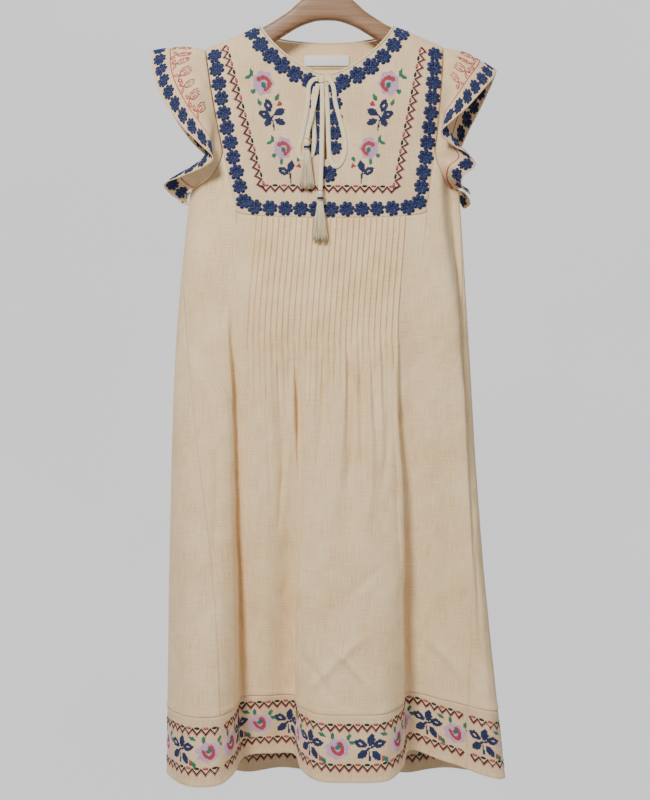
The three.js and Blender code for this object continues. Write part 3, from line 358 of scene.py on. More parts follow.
def lap_height(x, z):
    """A fold's edge: a gentle rise up to it, then a steep drop into a narrow trough."""
    total = np.zeros(np.shape(x))
    for x0, z0, x1, z1, rise, side in FRONT_LAPS:
        along = (z - z0) / (z1 - z0)
        off = side * (x - mix(x0, x1, along))
        taper = smooth(along, 0, 0.25) * smooth(1 - along, -0.12, 0.1)
        top = np.exp(-np.abs(off) / np.where(off < 0, LAP_GENTLE, LAP_STEEP))
        trough = np.exp(-(((off - 2.4 * LAP_STEEP) / (2 * LAP_STEEP)) ** 2))
        total += rise * taper * (top - 1.1 * trough)
    return total


def relief(place, level, at):
    """How far creases and unevenness move the cloth out."""
    x, z = at[..., 0], at[..., 2]
    ring = np.mod(place, FOLD_COUNT)
    front = ring < RIGHT_SIDE
    side = np.minimum(np.minimum(ring, np.abs(ring - RIGHT_SIDE)), FOLD_COUNT - ring)
    creases = np.where(front, crease_height(FRONT_CREASES, x, z) + lap_height(x, z),
                       crease_height(BACK_CREASES, x, z))
    uneven = np.zeros(np.shape(x))
    for height, length, turn, phase in WAVES:
        uneven += height * np.sin(2 * math.pi * (x * math.cos(turn) + z * math.sin(turn)) / length + phase)
    looseness = (0.3 + 0.7 * smooth(level, 0.9, 1.7)) * smooth(level, -0.85, -0.35)
    return (creases + uneven * looseness) * smooth(side, 0.1, 0.9) * smooth(level, -0.9, -0.4)


def cloth(place, level):
    """Points of the hung cloth and the way out from them."""
    place, level = np.broadcast_arrays(np.asarray(place, float), np.asarray(level, float))
    at = body(place, level)
    right = body(place + STEP, level) - body(place - STEP, level)
    fall = body(place, level + STEP) - body(place, np.maximum(level - STEP, -1.0))
    out = unit(np.cross(fall, right))
    return at + out * relief(place, level, at)[..., None], out


CHEST_TO_TUCKS = np.linspace(0, 2, 401)
HEIGHTS = net_point(np.full(401, 4.3), CHEST_TO_TUCKS)[:, 2]


def on_body(face, x, z):
    """The place and level of points of the front or the back, from their x and z."""
    x, z = np.broadcast_arrays(np.asarray(x, float), np.asarray(z, float))
    front = face == "front"
    sign = 1 if front else -1
    low = np.full(x.shape, 0.3 if front else RIGHT_SIDE + 0.6)
    high = np.full(x.shape, RIGHT_SIDE - 0.3 if front else FOLD_COUNT - 0.6)
    level = np.interp(-z, -HEIGHTS, CHEST_TO_TUCKS)
    for _ in range(34):
        middle = (low + high) / 2
        short = sign * net_point(middle, level)[..., 0] < sign * x
        low = np.where(short, middle, low)
        high = np.where(short, high, middle)
    top = shoulder_z(x)
    above = (top - z) / (top - LEVEL_Z[0]) - 1
    return (low + high) / 2, np.where(z > LEVEL_Z[0], above, level)


def seam_place(seam, level):
    return mix(seam[0], seam[1], smooth(level, UNDERARM, HEM))


# Places of both side seams by level, in the order of a panel's columns
FRONT_SEAMS = (lambda at: seam_place(LEFT_SEAM, at), lambda at: seam_place(RIGHT_SEAM, at))
BACK_SEAMS = (FRONT_SEAMS[1], lambda at: seam_place(LEFT_SEAM, at) + FOLD_COUNT)


# Yoke outline: down the left side, along the foot and up the right side
def lean_at(z):
    top = shoulder_z(SHOULDER_HALF)
    return mix(YOKE_LEAN_TOP, YOKE_LEAN_FOOT, (top - z) / (top - YOKE_FOOT_Z))


def shoulder_tip(side):
    x = YOKE_LEAN_TOP + side * SHOULDER_HALF
    return (x, shoulder_z(x))


YOKE_LINE = Line([
    shoulder_tip(-1),
    *[(lean_at(z) - half, z) for half, z in YOKE_EDGE],
    (YOKE_LEAN_FOOT, YOKE_FOOT_Z),
    *[(lean_at(z) + half, z) for half, z in reversed(YOKE_EDGE)],
    shoulder_tip(1),
], 2400)


def yoke_outline(share, gap):
    along = YOKE_LINE.heading(share)
    return YOKE_LINE.at(share) + gap * np.stack([along[..., 1], -along[..., 0]], -1)


def yoke_share_at_z(side, z):
    shares = np.linspace(0, 0.4, 800)
    heights = YOKE_LINE.at(shares if side < 0 else 1 - shares)[:, 1]
    found = np.interp(-z, -heights, shares)
    return found if side < 0 else 1 - found


def yoke_share_at_x(x):
    shares = np.linspace(0.3, 0.7, 800)
    return np.interp(x, YOKE_LINE.at(shares)[:, 0], shares)


def armhole(face, side, share, gap):
    """Place and level along an armhole edge, from the underarm to the yoke's side."""
    edge = yoke_outline(yoke_share_at_z(side, ARMHOLE_CORNER_Z), gap)
    corner_place, corner_level = on_body(face, edge[0], edge[1])
    ends = {"front": (0, RIGHT_SIDE), "back": (FOLD_COUNT, RIGHT_SIDE)}
    end = ends[face][0 if side < 0 else 1]
    turn = share * math.pi / 2
    rise = (gap - SEAM_GAP) / (LEVEL_Z[0] - LEVEL_Z[1])
    return (mix(end, corner_place, np.sin(turn)),
            mix(UNDERARM - rise, corner_level, 1 - np.cos(turn)))


# Meshes
def make_piece(name, points, faces, paint, uv=None, shade=None, smooth_faces=True):
    """A mesh object from points in millimetres and lists of faces of one size each."""
    mesh = bpy.data.meshes.new(name)
    loops = np.concatenate([block.ravel() for block in faces]).astype(np.int32)
    sizes = np.concatenate([np.full(len(block), block.shape[1]) for block in faces])
    starts = np.concatenate([[0], np.cumsum(sizes)[:-1]]).astype(np.int32)
    mesh.vertices.add(len(points))
    mesh.vertices.foreach_set("co", (points * MM).astype(np.float32).ravel())
    mesh.loops.add(len(loops))
    mesh.loops.foreach_set("vertex_index", loops)
    mesh.polygons.add(len(sizes))
    mesh.polygons.foreach_set("loop_start", starts)
    mesh.polygons.foreach_set("use_smooth", np.full(len(sizes), smooth_faces))
    if uv is not None:
        layer = mesh.uv_layers.new(name="cloth")
        layer.data.foreach_set("uv", (uv * MM).astype(np.float32)[loops].ravel())
    if shade is not None:
        layer = mesh.attributes.new("shade", "FLOAT", "POINT")
        layer.data.foreach_set("value", shade.astype(np.float32))
    mesh.update(calc_edges=True)
    mesh.validate()
    mesh.materials.append(paint)
    piece = bpy.data.objects.new(name, mesh)
    bpy.context.scene.collection.objects.link(piece)
    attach(piece, "root")
    return piece


def front_uv(points):
    """Weave of flat cloth as seen from the front."""
    return points[..., [0, 2]]


def hung_uv(points):
    """Weave of cloth that hangs: level distances across and the height."""
    across = np.zeros(points.shape[:2])
    across[:, 1:] = np.cumsum(np.linalg.norm(np.diff(points[..., :2], axis=1), axis=2), axis=1)
    across -= across[:, points.shape[1] // 2][:, None]
    return np.stack([across, points[..., 2]], -1)


def grid_uv(points):
    """Distances across and down a grid of points, for the weave."""
    across = np.zeros(points.shape[:2])
    across[:, 1:] = np.cumsum(np.linalg.norm(np.diff(points, axis=1), axis=2), axis=1)
    across -= across[:, points.shape[1] // 2][:, None]
    down = np.zeros(points.shape[:2])
    down[1:] = np.cumsum(np.linalg.norm(np.diff(points, axis=0), axis=2), axis=0)
    return np.stack([across, -down], -1)


def shell(name, middle, out, paint, lift=0, thickness=CLOTH, weave=grid_uv):
    """A closed thin shell on a grid with odd sides; the inner face has half its columns and rows."""
    rows, columns = middle.shape[:2]
    lift = np.broadcast_to(lift, (rows, columns))[..., None]
    outer = middle + out * (thickness / 2 + lift)
    inner = (middle - out * thickness / 2)[::2, ::2]
    near = np.arange(rows * columns).reshape(rows, columns)
    far = near.size + np.arange(inner.shape[0] * inner.shape[1]).reshape(inner.shape[:2])
    quads = [
        np.stack([near[:-1, :-1], near[1:, :-1], near[1:, 1:], near[:-1, 1:]], -1).reshape(-1, 4),
        np.stack([far[:-1, :-1], far[:-1, 1:], far[1:, 1:], far[1:, :-1]], -1).reshape(-1, 4),
    ]
    rims = []
    for edge, back, forward in ((near[0], far[0], True), (near[-1], far[-1], False),
                                (near[:, 0], far[:, 0], False), (near[:, -1], far[:, -1], True)):
        rim = np.stack([edge[:-2:2], edge[1::2], edge[2::2], back[1:], back[:-1]], -1)
        rims.append(rim if forward else rim[:, ::-1])
    points = np.vstack([outer.reshape(-1, 3), inner.reshape(-1, 3)])
    flat = weave(middle)
    uv = np.vstack([flat.reshape(-1, 2), flat[::2, ::2].reshape(-1, 2)])
    return make_piece(name, points, quads + [np.vstack(rims)], paint, uv)


def tube(name, line, half_side, half_depth, depth_way, paint, steps, sides=14, roundness=2.4):
    """A closed tube of a flat or round section along a line, with its depth along one direction."""
    shares = np.linspace(0, 1, steps + 1)
    at = line.at(shares)
    along = line.heading(shares)
    depth_way = np.asarray(depth_way, float)
    deep = unit(depth_way - along * (along @ depth_way)[:, None])
    side = np.cross(along, deep)
    turns = 2 * math.pi * np.arange(sides) / sides
    cos, sin = np.cos(turns), np.sin(turns)
    reach_side = np.sign(cos) * np.abs(cos) ** (2 / roundness) * half_side
    reach_deep = np.sign(sin) * np.abs(sin) ** (2 / roundness) * half_depth
    sideways = side[:, None] * reach_side[None, :, None]
    inwards = deep[:, None] * reach_deep[None, :, None]
    rings = at[:, None] + sideways + inwards
    points, faces = ring_faces(rings)
    uv = np.stack([np.tile(np.arange(sides) * half_side * 4 / sides, steps + 1),
                   np.repeat(shares * line.length, sides)], -1)
    uv = np.vstack([uv, [[0, 0], [0, line.length]]])
    return make_piece(name, points, faces, paint, uv)


def ring_faces(rings):
    """Points and faces of closed rings in a row, with a fan at both ends."""
    count, sides = rings.shape[:2]
    ids = np.arange(count * sides).reshape(count, sides)
    nxt = np.roll(ids, -1, axis=1)
    quads = np.stack([ids[:-1], nxt[:-1], nxt[1:], ids[1:]], -1).reshape(-1, 4)
    ends = np.array([rings[0].mean(0), rings[-1].mean(0)])
    first, last = count * sides, count * sides + 1
    caps = np.vstack([
        np.stack([nxt[0], ids[0], np.full(sides, first)], -1),
        np.stack([ids[-1], nxt[-1], np.full(sides, last)], -1),
    ])
    return np.vstack([rings.reshape(-1, 3), ends]), [quads, caps]


# Materials
def colour(text):
    channels = [int(text[k:k + 2], 16) / 255 for k in (0, 2, 4)]
    return tuple(c / 12.92 if c <= 0.04045 else ((c + 0.055) / 1.055) ** 2.4 for c in channels) + (1.0,)


class Paint:
    """A node material, built step by step."""

    def __init__(self, name, **sockets):
        self.material = bpy.data.materials.new(name)
        self.material.use_nodes = True
        self.tree = self.material.node_tree
        self.shader = self.tree.nodes["Principled BSDF"]
        for socket, value in sockets.items():
            self.shader.inputs[socket.replace("_", " ")].default_value = value

    def add(self, kind, output=0, settings=None, **inputs):
        node = self.tree.nodes.new(kind)
        for key, value in (settings or {}).items():
            setattr(node, key, value)
        for key, value in inputs.items():
            socket = node.inputs[int(key[1:]) if key[1:].isdigit() else key.replace("_", " ")]
            if isinstance(value, bpy.types.NodeSocket):
                self.tree.links.new(value, socket)
            else:
                socket.default_value = value
        return node.outputs[output]

    def noise(self, coordinates, scale, detail=2.0):
        stretched = self.add("ShaderNodeMapping", Vector=coordinates, Scale=scale)
        return self.add("ShaderNodeTexNoise", "Fac", Vector=stretched, Scale=1.0, Detail=detail)

    def wave(self, coordinates, direction, scale, distortion=0.0):
        return self.add("ShaderNodeTexWave", "Fac", {"bands_direction": direction}, Vector=coordinates,
                        Scale=scale, Distortion=distortion)

    def sum(self, a, b, share=1.0):
        return self.add("ShaderNodeMath", 0, {"operation": "MULTIPLY_ADD"}, _0=b, _1=share, _2=a)

    def times(self, a, factor):
        return self.add("ShaderNodeMath", 0, {"operation": "MULTIPLY"}, _0=a, _1=factor)

    def ramp(self, value, stops):
        node = self.tree.nodes.new("ShaderNodeValToRGB")
        marks = node.color_ramp.elements
        while len(marks) < len(stops):
            marks.new(0.5)
        for mark, (place, tone) in zip(marks, stops):
            mark.position = place
            mark.color = colour(tone) if isinstance(tone, str) else (tone, tone, tone, 1.0)
        self.tree.links.new(value, node.inputs[0])
        return node.outputs[0]

    def finish(self, base, roughness, height, strength, distance):
        links = self.tree.links
        links.new(base, self.shader.inputs["Base Color"])
        links.new(roughness, self.shader.inputs["Roughness"])
        bump = self.add("ShaderNodeBump", 0, None, Height=height, Strength=strength, Distance=distance)
        links.new(bump, self.shader.inputs["Normal"])
        return self.material


THREAD_PITCH = 0.00062
WAVE_PERIOD = 2 * math.pi / 20


def linen(name, dark, base, light, slub=0.5):
    """Slubby plain weave: threads both ways, thick places along them and broad mottling."""
    paint = Paint(name, Sheen_Weight=0.18, Sheen_Roughness=0.5, Specular_IOR_Level=0.25)
    flat = paint.add("ShaderNodeTexCoord", "UV")
    across = paint.noise(flat, (38, 1250, 1), 3.0)
    down = paint.noise(flat, (1350, 30, 1), 3.0)
    blotch = paint.noise(flat, (17, 13, 1), 2.0)
    value = paint.sum(paint.times(blotch, 0.22), across, 0.34 * 2 * slub)
    value = paint.sum(value, down, 0.44 * 2 * slub)
    base_colour = paint.ramp(value, [(0.36, dark), (0.5, base), (0.66, light)])
    rough = paint.ramp(value, [(0.3, 0.95), (0.7, 0.78)])
    scale = WAVE_PERIOD / THREAD_PITCH
    warp = paint.wave(flat, "X", scale)
    weft = paint.wave(flat, "Y", scale)
    height = paint.sum(paint.times(value, 1.6), warp, 0.25)
    height = paint.sum(height, weft, 0.25)
    return paint.finish(base_colour, rough, height, 0.35, 0.0005)


def thread(name, dark, base, light):
    """Twisted sewing thread, lighter on the raised stitches by a painted highlight."""
    paint = Paint(name, Sheen_Weight=0.1, Specular_IOR_Level=0.45)
    place = paint.add("ShaderNodeTexCoord", "Object")
    # The shade attribute carries each stitch's tone, with painted highlights on raised tops and painted
    # shade at their feet
    shade = paint.add("ShaderNodeAttribute", "Fac", {"attribute_name": "shade"})
    fleck = paint.noise(place, (1400, 1400, 1400), 2.0)
    value = paint.sum(paint.times(shade, 0.7), fleck, 0.4)
    base_colour = paint.ramp(value, [(0.1, dark), (0.45, base), (0.85, light)])
    rough = paint.ramp(fleck, [(0.3, 0.62), (0.7, 0.42)])
    return paint.finish(base_colour, rough, fleck, 0.3, 0.0003)


def wood(name):
    paint = Paint(name, Coat_Weight=0.15, Coat_Roughness=0.3, Specular_IOR_Level=0.4)
    place = paint.add("ShaderNodeTexCoord", "Object")
    grain = paint.noise(place, (9, 160, 260), 4.0)
    pores = paint.noise(place, (40, 1500, 2200), 2.0)
    value = paint.sum(paint.times(grain, 0.8), pores, 0.22)
    base_colour = paint.ramp(value, [(0.34, "76563c"), (0.5, "8a6647"), (0.68, "9a7452")])
    rough = paint.ramp(pores, [(0.35, 0.6), (0.65, 0.42)])
    return paint.finish(base_colour, rough, value, 0.2, 0.0006)


def steel(name):
    paint = Paint(name, Metallic=1.0)
    place = paint.add("ShaderNodeTexCoord", "Object")
    brush = paint.noise(place, (900, 900, 60), 2.0)
    base_colour = paint.ramp(brush, [(0.3, "b4b6b8"), (0.7, "d2d4d6")])
    rough = paint.ramp(brush, [(0.3, 0.2), (0.7, 0.34)])
    return paint.finish(base_colour, rough, brush, 0.06, 0.0002)


def woven_label(name):
    paint = Paint(name, Sheen_Weight=0.1, Specular_IOR_Level=0.4)
    flat = paint.add("ShaderNodeTexCoord", "UV")
    satin = paint.wave(flat, "Y", WAVE_PERIOD / 0.0006)
    fleck = paint.noise(flat, (300, 900, 1), 2.0)
    value = paint.sum(paint.times(fleck, 0.8), satin, 0.15)
    base_colour = paint.ramp(value, [(0.3, "dcdad4"), (0.6, "ebe9e4")])
    rough = paint.ramp(fleck, [(0.3, 0.62), (0.7, 0.5)])
    return paint.finish(base_colour, rough, satin, 0.2, 0.0003)


PAINTS = {
    "cloth": linen("cream_linen", "d6b07c", "efcf9d", "f8e1b9"),
    "band": linen("band_linen", "dab88a", "eed1a5", "f6e2c2", 0.4),
    "trim": linen("trim_cotton", "e2d2ac", "f0e2c2", "f8efd9", 0.3),
    "label": woven_label("blank_label"),
    "blue": thread("blue_thread", "080d28", "142252", "233a78"),
    "red": thread("red_thread", "a02a32", "c23c44", "d8666a"),
    "lilac": thread("lilac_thread", "cf9cbf", "e2b6d3", "eed0e4"),
    "green": thread("green_thread", "135c42", "247a5c", "4f9d80"),
    "black": thread("black_thread", "050505", "0e0d0f", "222024"),
    "wood": wood("pale_wood"),
    "steel": steel("brushed_steel"),
}


# Camera, at the photograph's viewing angle
camera = bpy.data.objects.new("camera", bpy.data.cameras.new("camera"))
camera.location = (-0.003, -1.55, -0.666)
camera.rotation_euler = (math.pi / 2, 0, 0)
camera.data.lens = 46.8
camera.data.sensor_width = 36
bpy.context.scene.collection.objects.link(camera)
bpy.context.scene.camera = camera


# Tie, knot and tassels
def over_front(x, z, lift):
    place, level = on_body("front", x, z)
    at = body(place, level)
    at[..., 1] -= 0.6 + lift
    return at


FRONT = (0, -1, 0)


def lathe(profile, sides, at, flatten=1.0):
    """Rings of a turned shape; its profile rows are radius and height."""
    turns = 2 * math.pi * np.arange(sides) / sides
    rings = [np.stack([r * np.cos(turns), r * flatten * np.sin(turns), np.full(sides, z)], -1)
             for r, z in profile]
    return np.array(rings) + at


def join(parts):
    """One set of points and faces from several."""
    points, faces, offset = [], [], 0
    for part_points, part_faces in parts:
        points.append(part_points)
        faces += [block + offset for block in part_faces]
        offset += len(part_points)
    return np.vstack(points), faces


def tassel(name, x, z, lift):
    """A turned head with a fringe of slightly wavy strands."""
    at = over_front(np.array(x), np.array(z), np.array(lift))
    parts = [ring_faces(lathe(TASSEL_HEAD[::-1], 18, at, TASSEL_FLATNESS))]
    down = np.linspace(0, 1, STRAND_SEGMENTS + 1)
    for k in range(STRANDS):
        angle = GOLDEN_ANGLE * k
        reach = math.sqrt((k + 0.5) / STRANDS)
        hang = rng.uniform(*STRAND_LENGTHS)
        wave = rng.uniform(0, 2 * math.pi, 2)
        spread = mix(*FRINGE_RADII, down ** 0.8) * reach
        sway = 0.5 * down * np.sin(5 * down + wave[0])
        swing = 0.4 * down * np.sin(4 * down + wave[1])
        path = np.stack([spread * math.cos(angle) + sway,
                         FRINGE_FLATNESS * spread * math.sin(angle) + swing,
                         STRAND_TOP - hang * down], -1)
        parts.append(ring_faces(strand_rings(path + at, STRAND_RADIUS)))
    points, faces = join(parts)
    piece = make_piece(name + "_fringe", points, faces, PAINTS["trim"], points[:, [0, 2]])
    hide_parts(name)
    turns = np.linspace(0, 2 * math.pi * WRAP_TURNS, 73)
    coil = np.stack([WRAP_RADII[0] * np.cos(turns), WRAP_RADII[1] * np.sin(turns),
                     mix(*WRAP_HEIGHTS, turns / turns[-1])], -1)
    points, faces = ring_faces(strand_rings(coil + at, 0.5, 6))
    wrap = make_piece(name + "_wrap", points, faces, PAINTS["blue"], shade=np.full(len(points), 0.3))
    return piece, wrap


def strand_rings(path, radius, sides=4):
    """Rings round a path that runs mainly down or round."""
    along = unit(np.gradient(path, axis=0))
    side = unit(np.cross(along, (0.3, 0.2, 0.1) + np.roll(along, 1, axis=1)))
    deep = np.cross(along, side)
    turns = 2 * math.pi * np.arange(sides) / sides
    return path[:, None] + radius * (side[:, None] * np.cos(turns)[None, :, None]
                                     + deep[:, None] * np.sin(turns)[None, :, None])


knot_at = over_front(*np.array(KNOT, float))
knot_points, knot_faces = ring_faces(lathe(KNOT_PROFILE, 24, knot_at, KNOT_FLATNESS))
knot = make_piece("tie_knot_roll", knot_points, knot_faces, PAINTS["trim"], knot_points[:, [0, 2]])
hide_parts("tie_knot")

# What is carried by each strip of the tie
carried = {name.replace("tassel", "tie_tail"): tassel(name, *place) for name, place in TASSELS.items()}
carried["tie_loop_left"] = (knot,)
for name, route in TIE_ROUTES.items():
    path = Line(over_front(*np.array(route, float).T))
    strip = tube(name + "_strip", path, TIE_WIDTH / 2, TIE_THICKNESS / 2, FRONT, PAINTS["trim"],
                 int(path.length / 1.6), 16, 2.6)
    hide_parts(name)


# Cloth panels
ARMHOLE_COLUMNS = 24
FRONT_SIDE_COLUMNS = 40
BACK_SIDE_COLUMNS = 28
BACK_FULL_LEVEL = 1.1
WELT_HEIGHT = 0.7
PLACES = np.linspace(2, 13, 1101)
TUCK_X = level_point(PLACES, 2)[:, 0]


def tuck_lift(place, level):
    """Height of the pintucks, which end where the fullness is let go."""
    x = np.interp(place, PLACES, TUCK_X)
    nearest = np.clip(np.round((x - TUCK_LEAD_X) / TUCK_PITCH), 0, TUCK_COUNT - 1)
    offset = x - TUCK_LEAD_X - nearest * TUCK_PITCH
    ridge = np.interp(offset, TUCK_OFFSETS, TUCK_HEIGHTS)
    end = 1.95 + 0.02 * np.sin(2.3 * nearest)
    strength = 0.3 + 0.7 * np.abs(np.sin(1.7 * nearest + 0.6))
    fold = FOLD_HEIGHT * strength * np.cos(np.clip((offset - 0.6) / TUCK_PITCH, -0.5, 0.5) * math.pi) ** 2
    opening = smooth(level, end - 0.03, end + 0.03)
    closing = smooth(level, end + 0.05, end + 0.2 + 0.5 * strength)
    fold = fold * opening * (1 - closing)
    return ridge * (1 - smooth(level, end, end + 0.04)) + fold


def front_columns():
    """Place and level on the top edge, and the place at the tuck ends, for each column."""
    tuck_x = TUCK_LEAD_X + np.add.outer(np.arange(TUCK_COUNT) * TUCK_PITCH, TUCK_OFFSETS).ravel()
    tucks = np.interp(tuck_x, TUCK_X, PLACES)
    tucks = np.append(tucks[:-2], tucks[-2])
    foot = yoke_outline(yoke_share_at_x(body(tucks, np.ones(len(tucks)))[:, 0]), SEAM_GAP)
    tuck_tops = on_body("front", foot[:, 0], foot[:, 1])[1]
    spans = []
    for side, tuck in ((-1, tucks[0]), (1, tucks[-1])):
        curve = armhole("front", side, np.linspace(0, 1, ARMHOLE_COLUMNS, endpoint=False), SEAM_GAP)
        corner = yoke_share_at_z(side, ARMHOLE_CORNER_Z)
        end = yoke_share_at_x(float(body(np.array(tuck), np.array(1.0))[0]))
        edge = yoke_outline(np.linspace(corner, end, FRONT_SIDE_COLUMNS, endpoint=False), SEAM_GAP)
        beside = on_body("front", edge[:, 0], edge[:, 1])
        places = np.concatenate([curve[0], beside[0]])
        levels = np.concatenate([curve[1], beside[1]])
        seam = LEFT_SEAM if side < 0 else RIGHT_SEAM
        hang = np.linspace(seam_place(seam, TUCK_END), tuck, len(places), endpoint=False)
        spans.append((places, levels, hang))
    left, right = spans
    place = np.concatenate([left[0], tucks, right[0][::-1]])
    level = np.concatenate([left[1], tuck_tops, right[1][::-1]])
    hang = np.concatenate([left[2], tucks, right[2][::-1]])
    return place, level, hang


def skirt_rows(fraction, levels, seams, even_from, even_to):
    """Places of the columns on each level between two side seams, evened out on the way down."""
    even = np.linspace(0, 1, len(fraction))
    share = mix(fraction, even, 0.8 * smooth(levels, even_from, even_to)[:, None])
    low, high = (side(levels)[:, None] for side in seams)
    return mix(low, high, share)


PANEL_FOOT = BAND_TOP + np.array((-0.03, -0.022, -0.016, -0.01, -0.003, 0))


def front_panel():
    place, level, hang = front_columns()
    share = np.linspace(0, 1, 61)[:, None]
    upper_place = mix(place, hang, share)
    upper_level = mix(level, TUCK_END, share)
    beside = ARMHOLE_COLUMNS + FRONT_SIDE_COLUMNS
    weight = np.linspace(1, 0, beside) ** 2
    for side, seam, span in ((0, LEFT_SEAM, slice(0, beside)), (-1, RIGHT_SEAM, slice(-1, -beside - 1, -1))):
        sewn = seam_place(seam, upper_level[:, side]) - upper_place[:, side]
        upper_place[:, span] += sewn[:, None] * weight
    levels = np.concatenate([np.linspace(TUCK_END, BAND_TOP - 0.045, 105)[1:], PANEL_FOOT])
    low, high = (side(np.array([TUCK_END]))[0] for side in FRONT_SEAMS)
    lower_place = skirt_rows((hang - low) / (high - low), levels, FRONT_SEAMS, 2.05, 3.0)
    places = np.vstack([upper_place, lower_place])
    rows = np.vstack([upper_level, np.repeat(levels[:, None], places.shape[1], 1)])
    at, out = cloth(places, rows)
    lift = tuck_lift(places, rows) + welt(rows)
    return shell("front_panel_cloth", at, out, PAINTS["cloth"], lift, weave=hung_uv)


def welt(level):
    """The folded seam that stands proud above the hem band."""
    return WELT_HEIGHT * smooth(level, BAND_TOP - 0.028, BAND_TOP - 0.016)


def back_columns():
    """As for the front: from the right armhole over the back yoke's seam to the left one."""
    fan, turn_in = 1.5, 0.45
    spans = []
    for side in (1, -1):
        corner = yoke_share_at_z(side, ARMHOLE_CORNER_Z)
        end = yoke_share_at_z(side, BACK_YOKE_FOOT_Z - SEAM_GAP)
        seam = BACK_SEAMS[0 if side > 0 else 1](BACK_FULL_LEVEL)
        curve = armhole("back", side, np.linspace(0, 1, ARMHOLE_COLUMNS, endpoint=False), SEAM_GAP)
        turn = float(armhole("back", side, np.array(1.0), SEAM_GAP)[0]) + side * turn_in
        edge = yoke_outline(np.linspace(corner, end, BACK_SIDE_COLUMNS), 0)
        beside = on_body("back", edge[:, 0], edge[:, 1])
        places = np.concatenate([curve[0], beside[0]])
        levels = np.concatenate([curve[1], beside[1]])
        hang = np.concatenate([np.linspace(seam, turn, ARMHOLE_COLUMNS, endpoint=False),
                               turn + side * fan * np.linspace(0, 1, BACK_SIDE_COLUMNS)])
        spans.append((places, levels, hang))
    right, left = spans
    ends = [body(np.array(span[0][-1]), np.array(0.0))[0] for span in spans]
    share = np.linspace(0, 1, 99)[1:-1]
    across = on_body("back", mix(ends[0], ends[1], share), BACK_YOKE_FOOT_Z - SEAM_GAP)
    place = np.concatenate([right[0], across[0], left[0][::-1]])
    level = np.concatenate([right[1], across[1], left[1][::-1]])
    hang = np.concatenate([right[2], mix(right[2][-1], left[2][-1], share), left[2][::-1]])
    return place, level, hang


def back_panel():
    place, level, hang = back_columns()
    low, high = (side(np.array([BACK_FULL_LEVEL]))[0] for side in BACK_SEAMS)
    share = np.linspace(0, 1, 51)[:, None]
    upper_place = mix(np.clip(place, RIGHT_SIDE, FOLD_COUNT), hang, share)
    upper_level = mix(level, BACK_FULL_LEVEL, share)
    levels = np.concatenate([np.linspace(BACK_FULL_LEVEL, BAND_TOP - 0.045, 125)[1:], PANEL_FOOT])
    lower_place = skirt_rows((hang - low) / (high - low), levels, BACK_SEAMS, BACK_FULL_LEVEL, 2.2)
    places = np.vstack([upper_place, lower_place])
    rows = np.vstack([upper_level, np.repeat(levels[:, None], places.shape[1], 1)])
    at, out = cloth(places, rows)
    return shell("back_panel_cloth", at, out, PAINTS["cloth"], welt(rows), weave=hung_uv)


HEM_TURN = (3.964, 3.972)
HEM_ROUNDING = 3.992
BAND_LEVELS = np.concatenate([np.linspace(BAND_TOP + 0.001, 3.955, 23),
                              (3.966, 3.97, 3.985, 3.994, 3.998, HEM)])


def hem_band(name, seams, columns):
    low, high = (side(BAND_LEVELS)[:, None] for side in seams)
    places = mix(low, high, np.linspace(0, 1, columns))
    rows = np.repeat(BAND_LEVELS[:, None], columns, 1)
    at, out = cloth(places, rows)
    turned_hem = 0.5 * smooth(rows, *HEM_TURN) * (1 - 0.6 * smooth(rows, HEM_ROUNDING, HEM))
    return shell(name, at, out, PAINTS["band"], turned_hem)


# Yokes
SHOULDER_CLEARANCE = 2e-3


def front_neck_z(x):
    share = np.clip(np.abs(x) / NECK_X, 0, 1)
    return NECK_Z - FRONT_NECK_DEPTH * (1 - share ** NECK_ROUNDNESS) ** (1 / NECK_ROUNDNESS)


def back_neck_z(x):
    share = np.clip(np.abs(x) / NECK_X, 0, 1)
    return NECK_Z - BACK_NECK_DEPTH * (1 - share ** BACK_NECK_ROUNDNESS) ** (1 / BACK_NECK_ROUNDNESS)


def yoke_inner_edge(share):
    """Neckline and slit as one open line, from the left neck point to the right one."""
    side = np.where(share < 0.5, -1, 1)
    along = np.where(share < 0.5, share, 1 - share)
    half = SLIT_WIDTH / 2
    turn = np.clip(along / SLIT_TOP_SHARE, 0, 1) ** 1.15
    neck_x = mix(side * NECK_X, SLIT_X + side * half, turn)
    neck = np.stack([neck_x, front_neck_z(neck_x)], -1)
    down = np.clip((along - SLIT_TOP_SHARE) / (SLIT_FOOT_SHARE - SLIT_TOP_SHARE), 0, 1)
    slit = np.stack([SLIT_X + side * half, mix(front_neck_z(SLIT_X), SLIT_FOOT_Z, down)], -1)
    rest = np.clip((0.5 - along) / (0.5 - SLIT_FOOT_SHARE), 0, 1)
    foot = np.stack([SLIT_X + side * half * rest, SLIT_FOOT_Z - half * (1 - rest)], -1)
    along = along[..., None]
    return np.where(along < SLIT_TOP_SHARE, neck, np.where(along < SLIT_FOOT_SHARE, slit, foot))


def front_yoke():
    near_shoulder = 0.1 * np.linspace(0, 1, 40, endpoint=False) ** 2
    corners = (SLIT_TOP_SHARE, SLIT_FOOT_SHARE, 0.5, 1 - SLIT_FOOT_SHARE, 1 - SLIT_TOP_SHARE)
    between = np.linspace(0.1, 0.9, 320)
    share = np.unique(np.concatenate([near_shoulder, between, corners, 1 - near_shoulder]))
    share = share if len(share) % 2 else np.delete(share, 60)
    out_share = np.concatenate([[0, 0.012], np.linspace(0.03, 0.97, 31), [0.988, 1]])[:, None, None]
    outline = yoke_outline(mix(0.001, 0.999, share), 0)
    flat = mix(yoke_inner_edge(share), outline, out_share)
    x = flat[..., 0]
    z = np.minimum(flat[..., 1], shoulder_z(x) - SHOULDER_CLEARANCE)
    at, out = cloth(*on_body("front", x, z))
    rim = out_share[..., 0]
    lift = YOKE_LIFT * (1 - 0.8 * smooth(rim, 0.985, 1.0)) * (1 - 0.8 * smooth(rim, 0.015, 0.0))
    return shell("front_yoke_cloth", at, out, PAINTS["band"], lift, weave=front_uv)


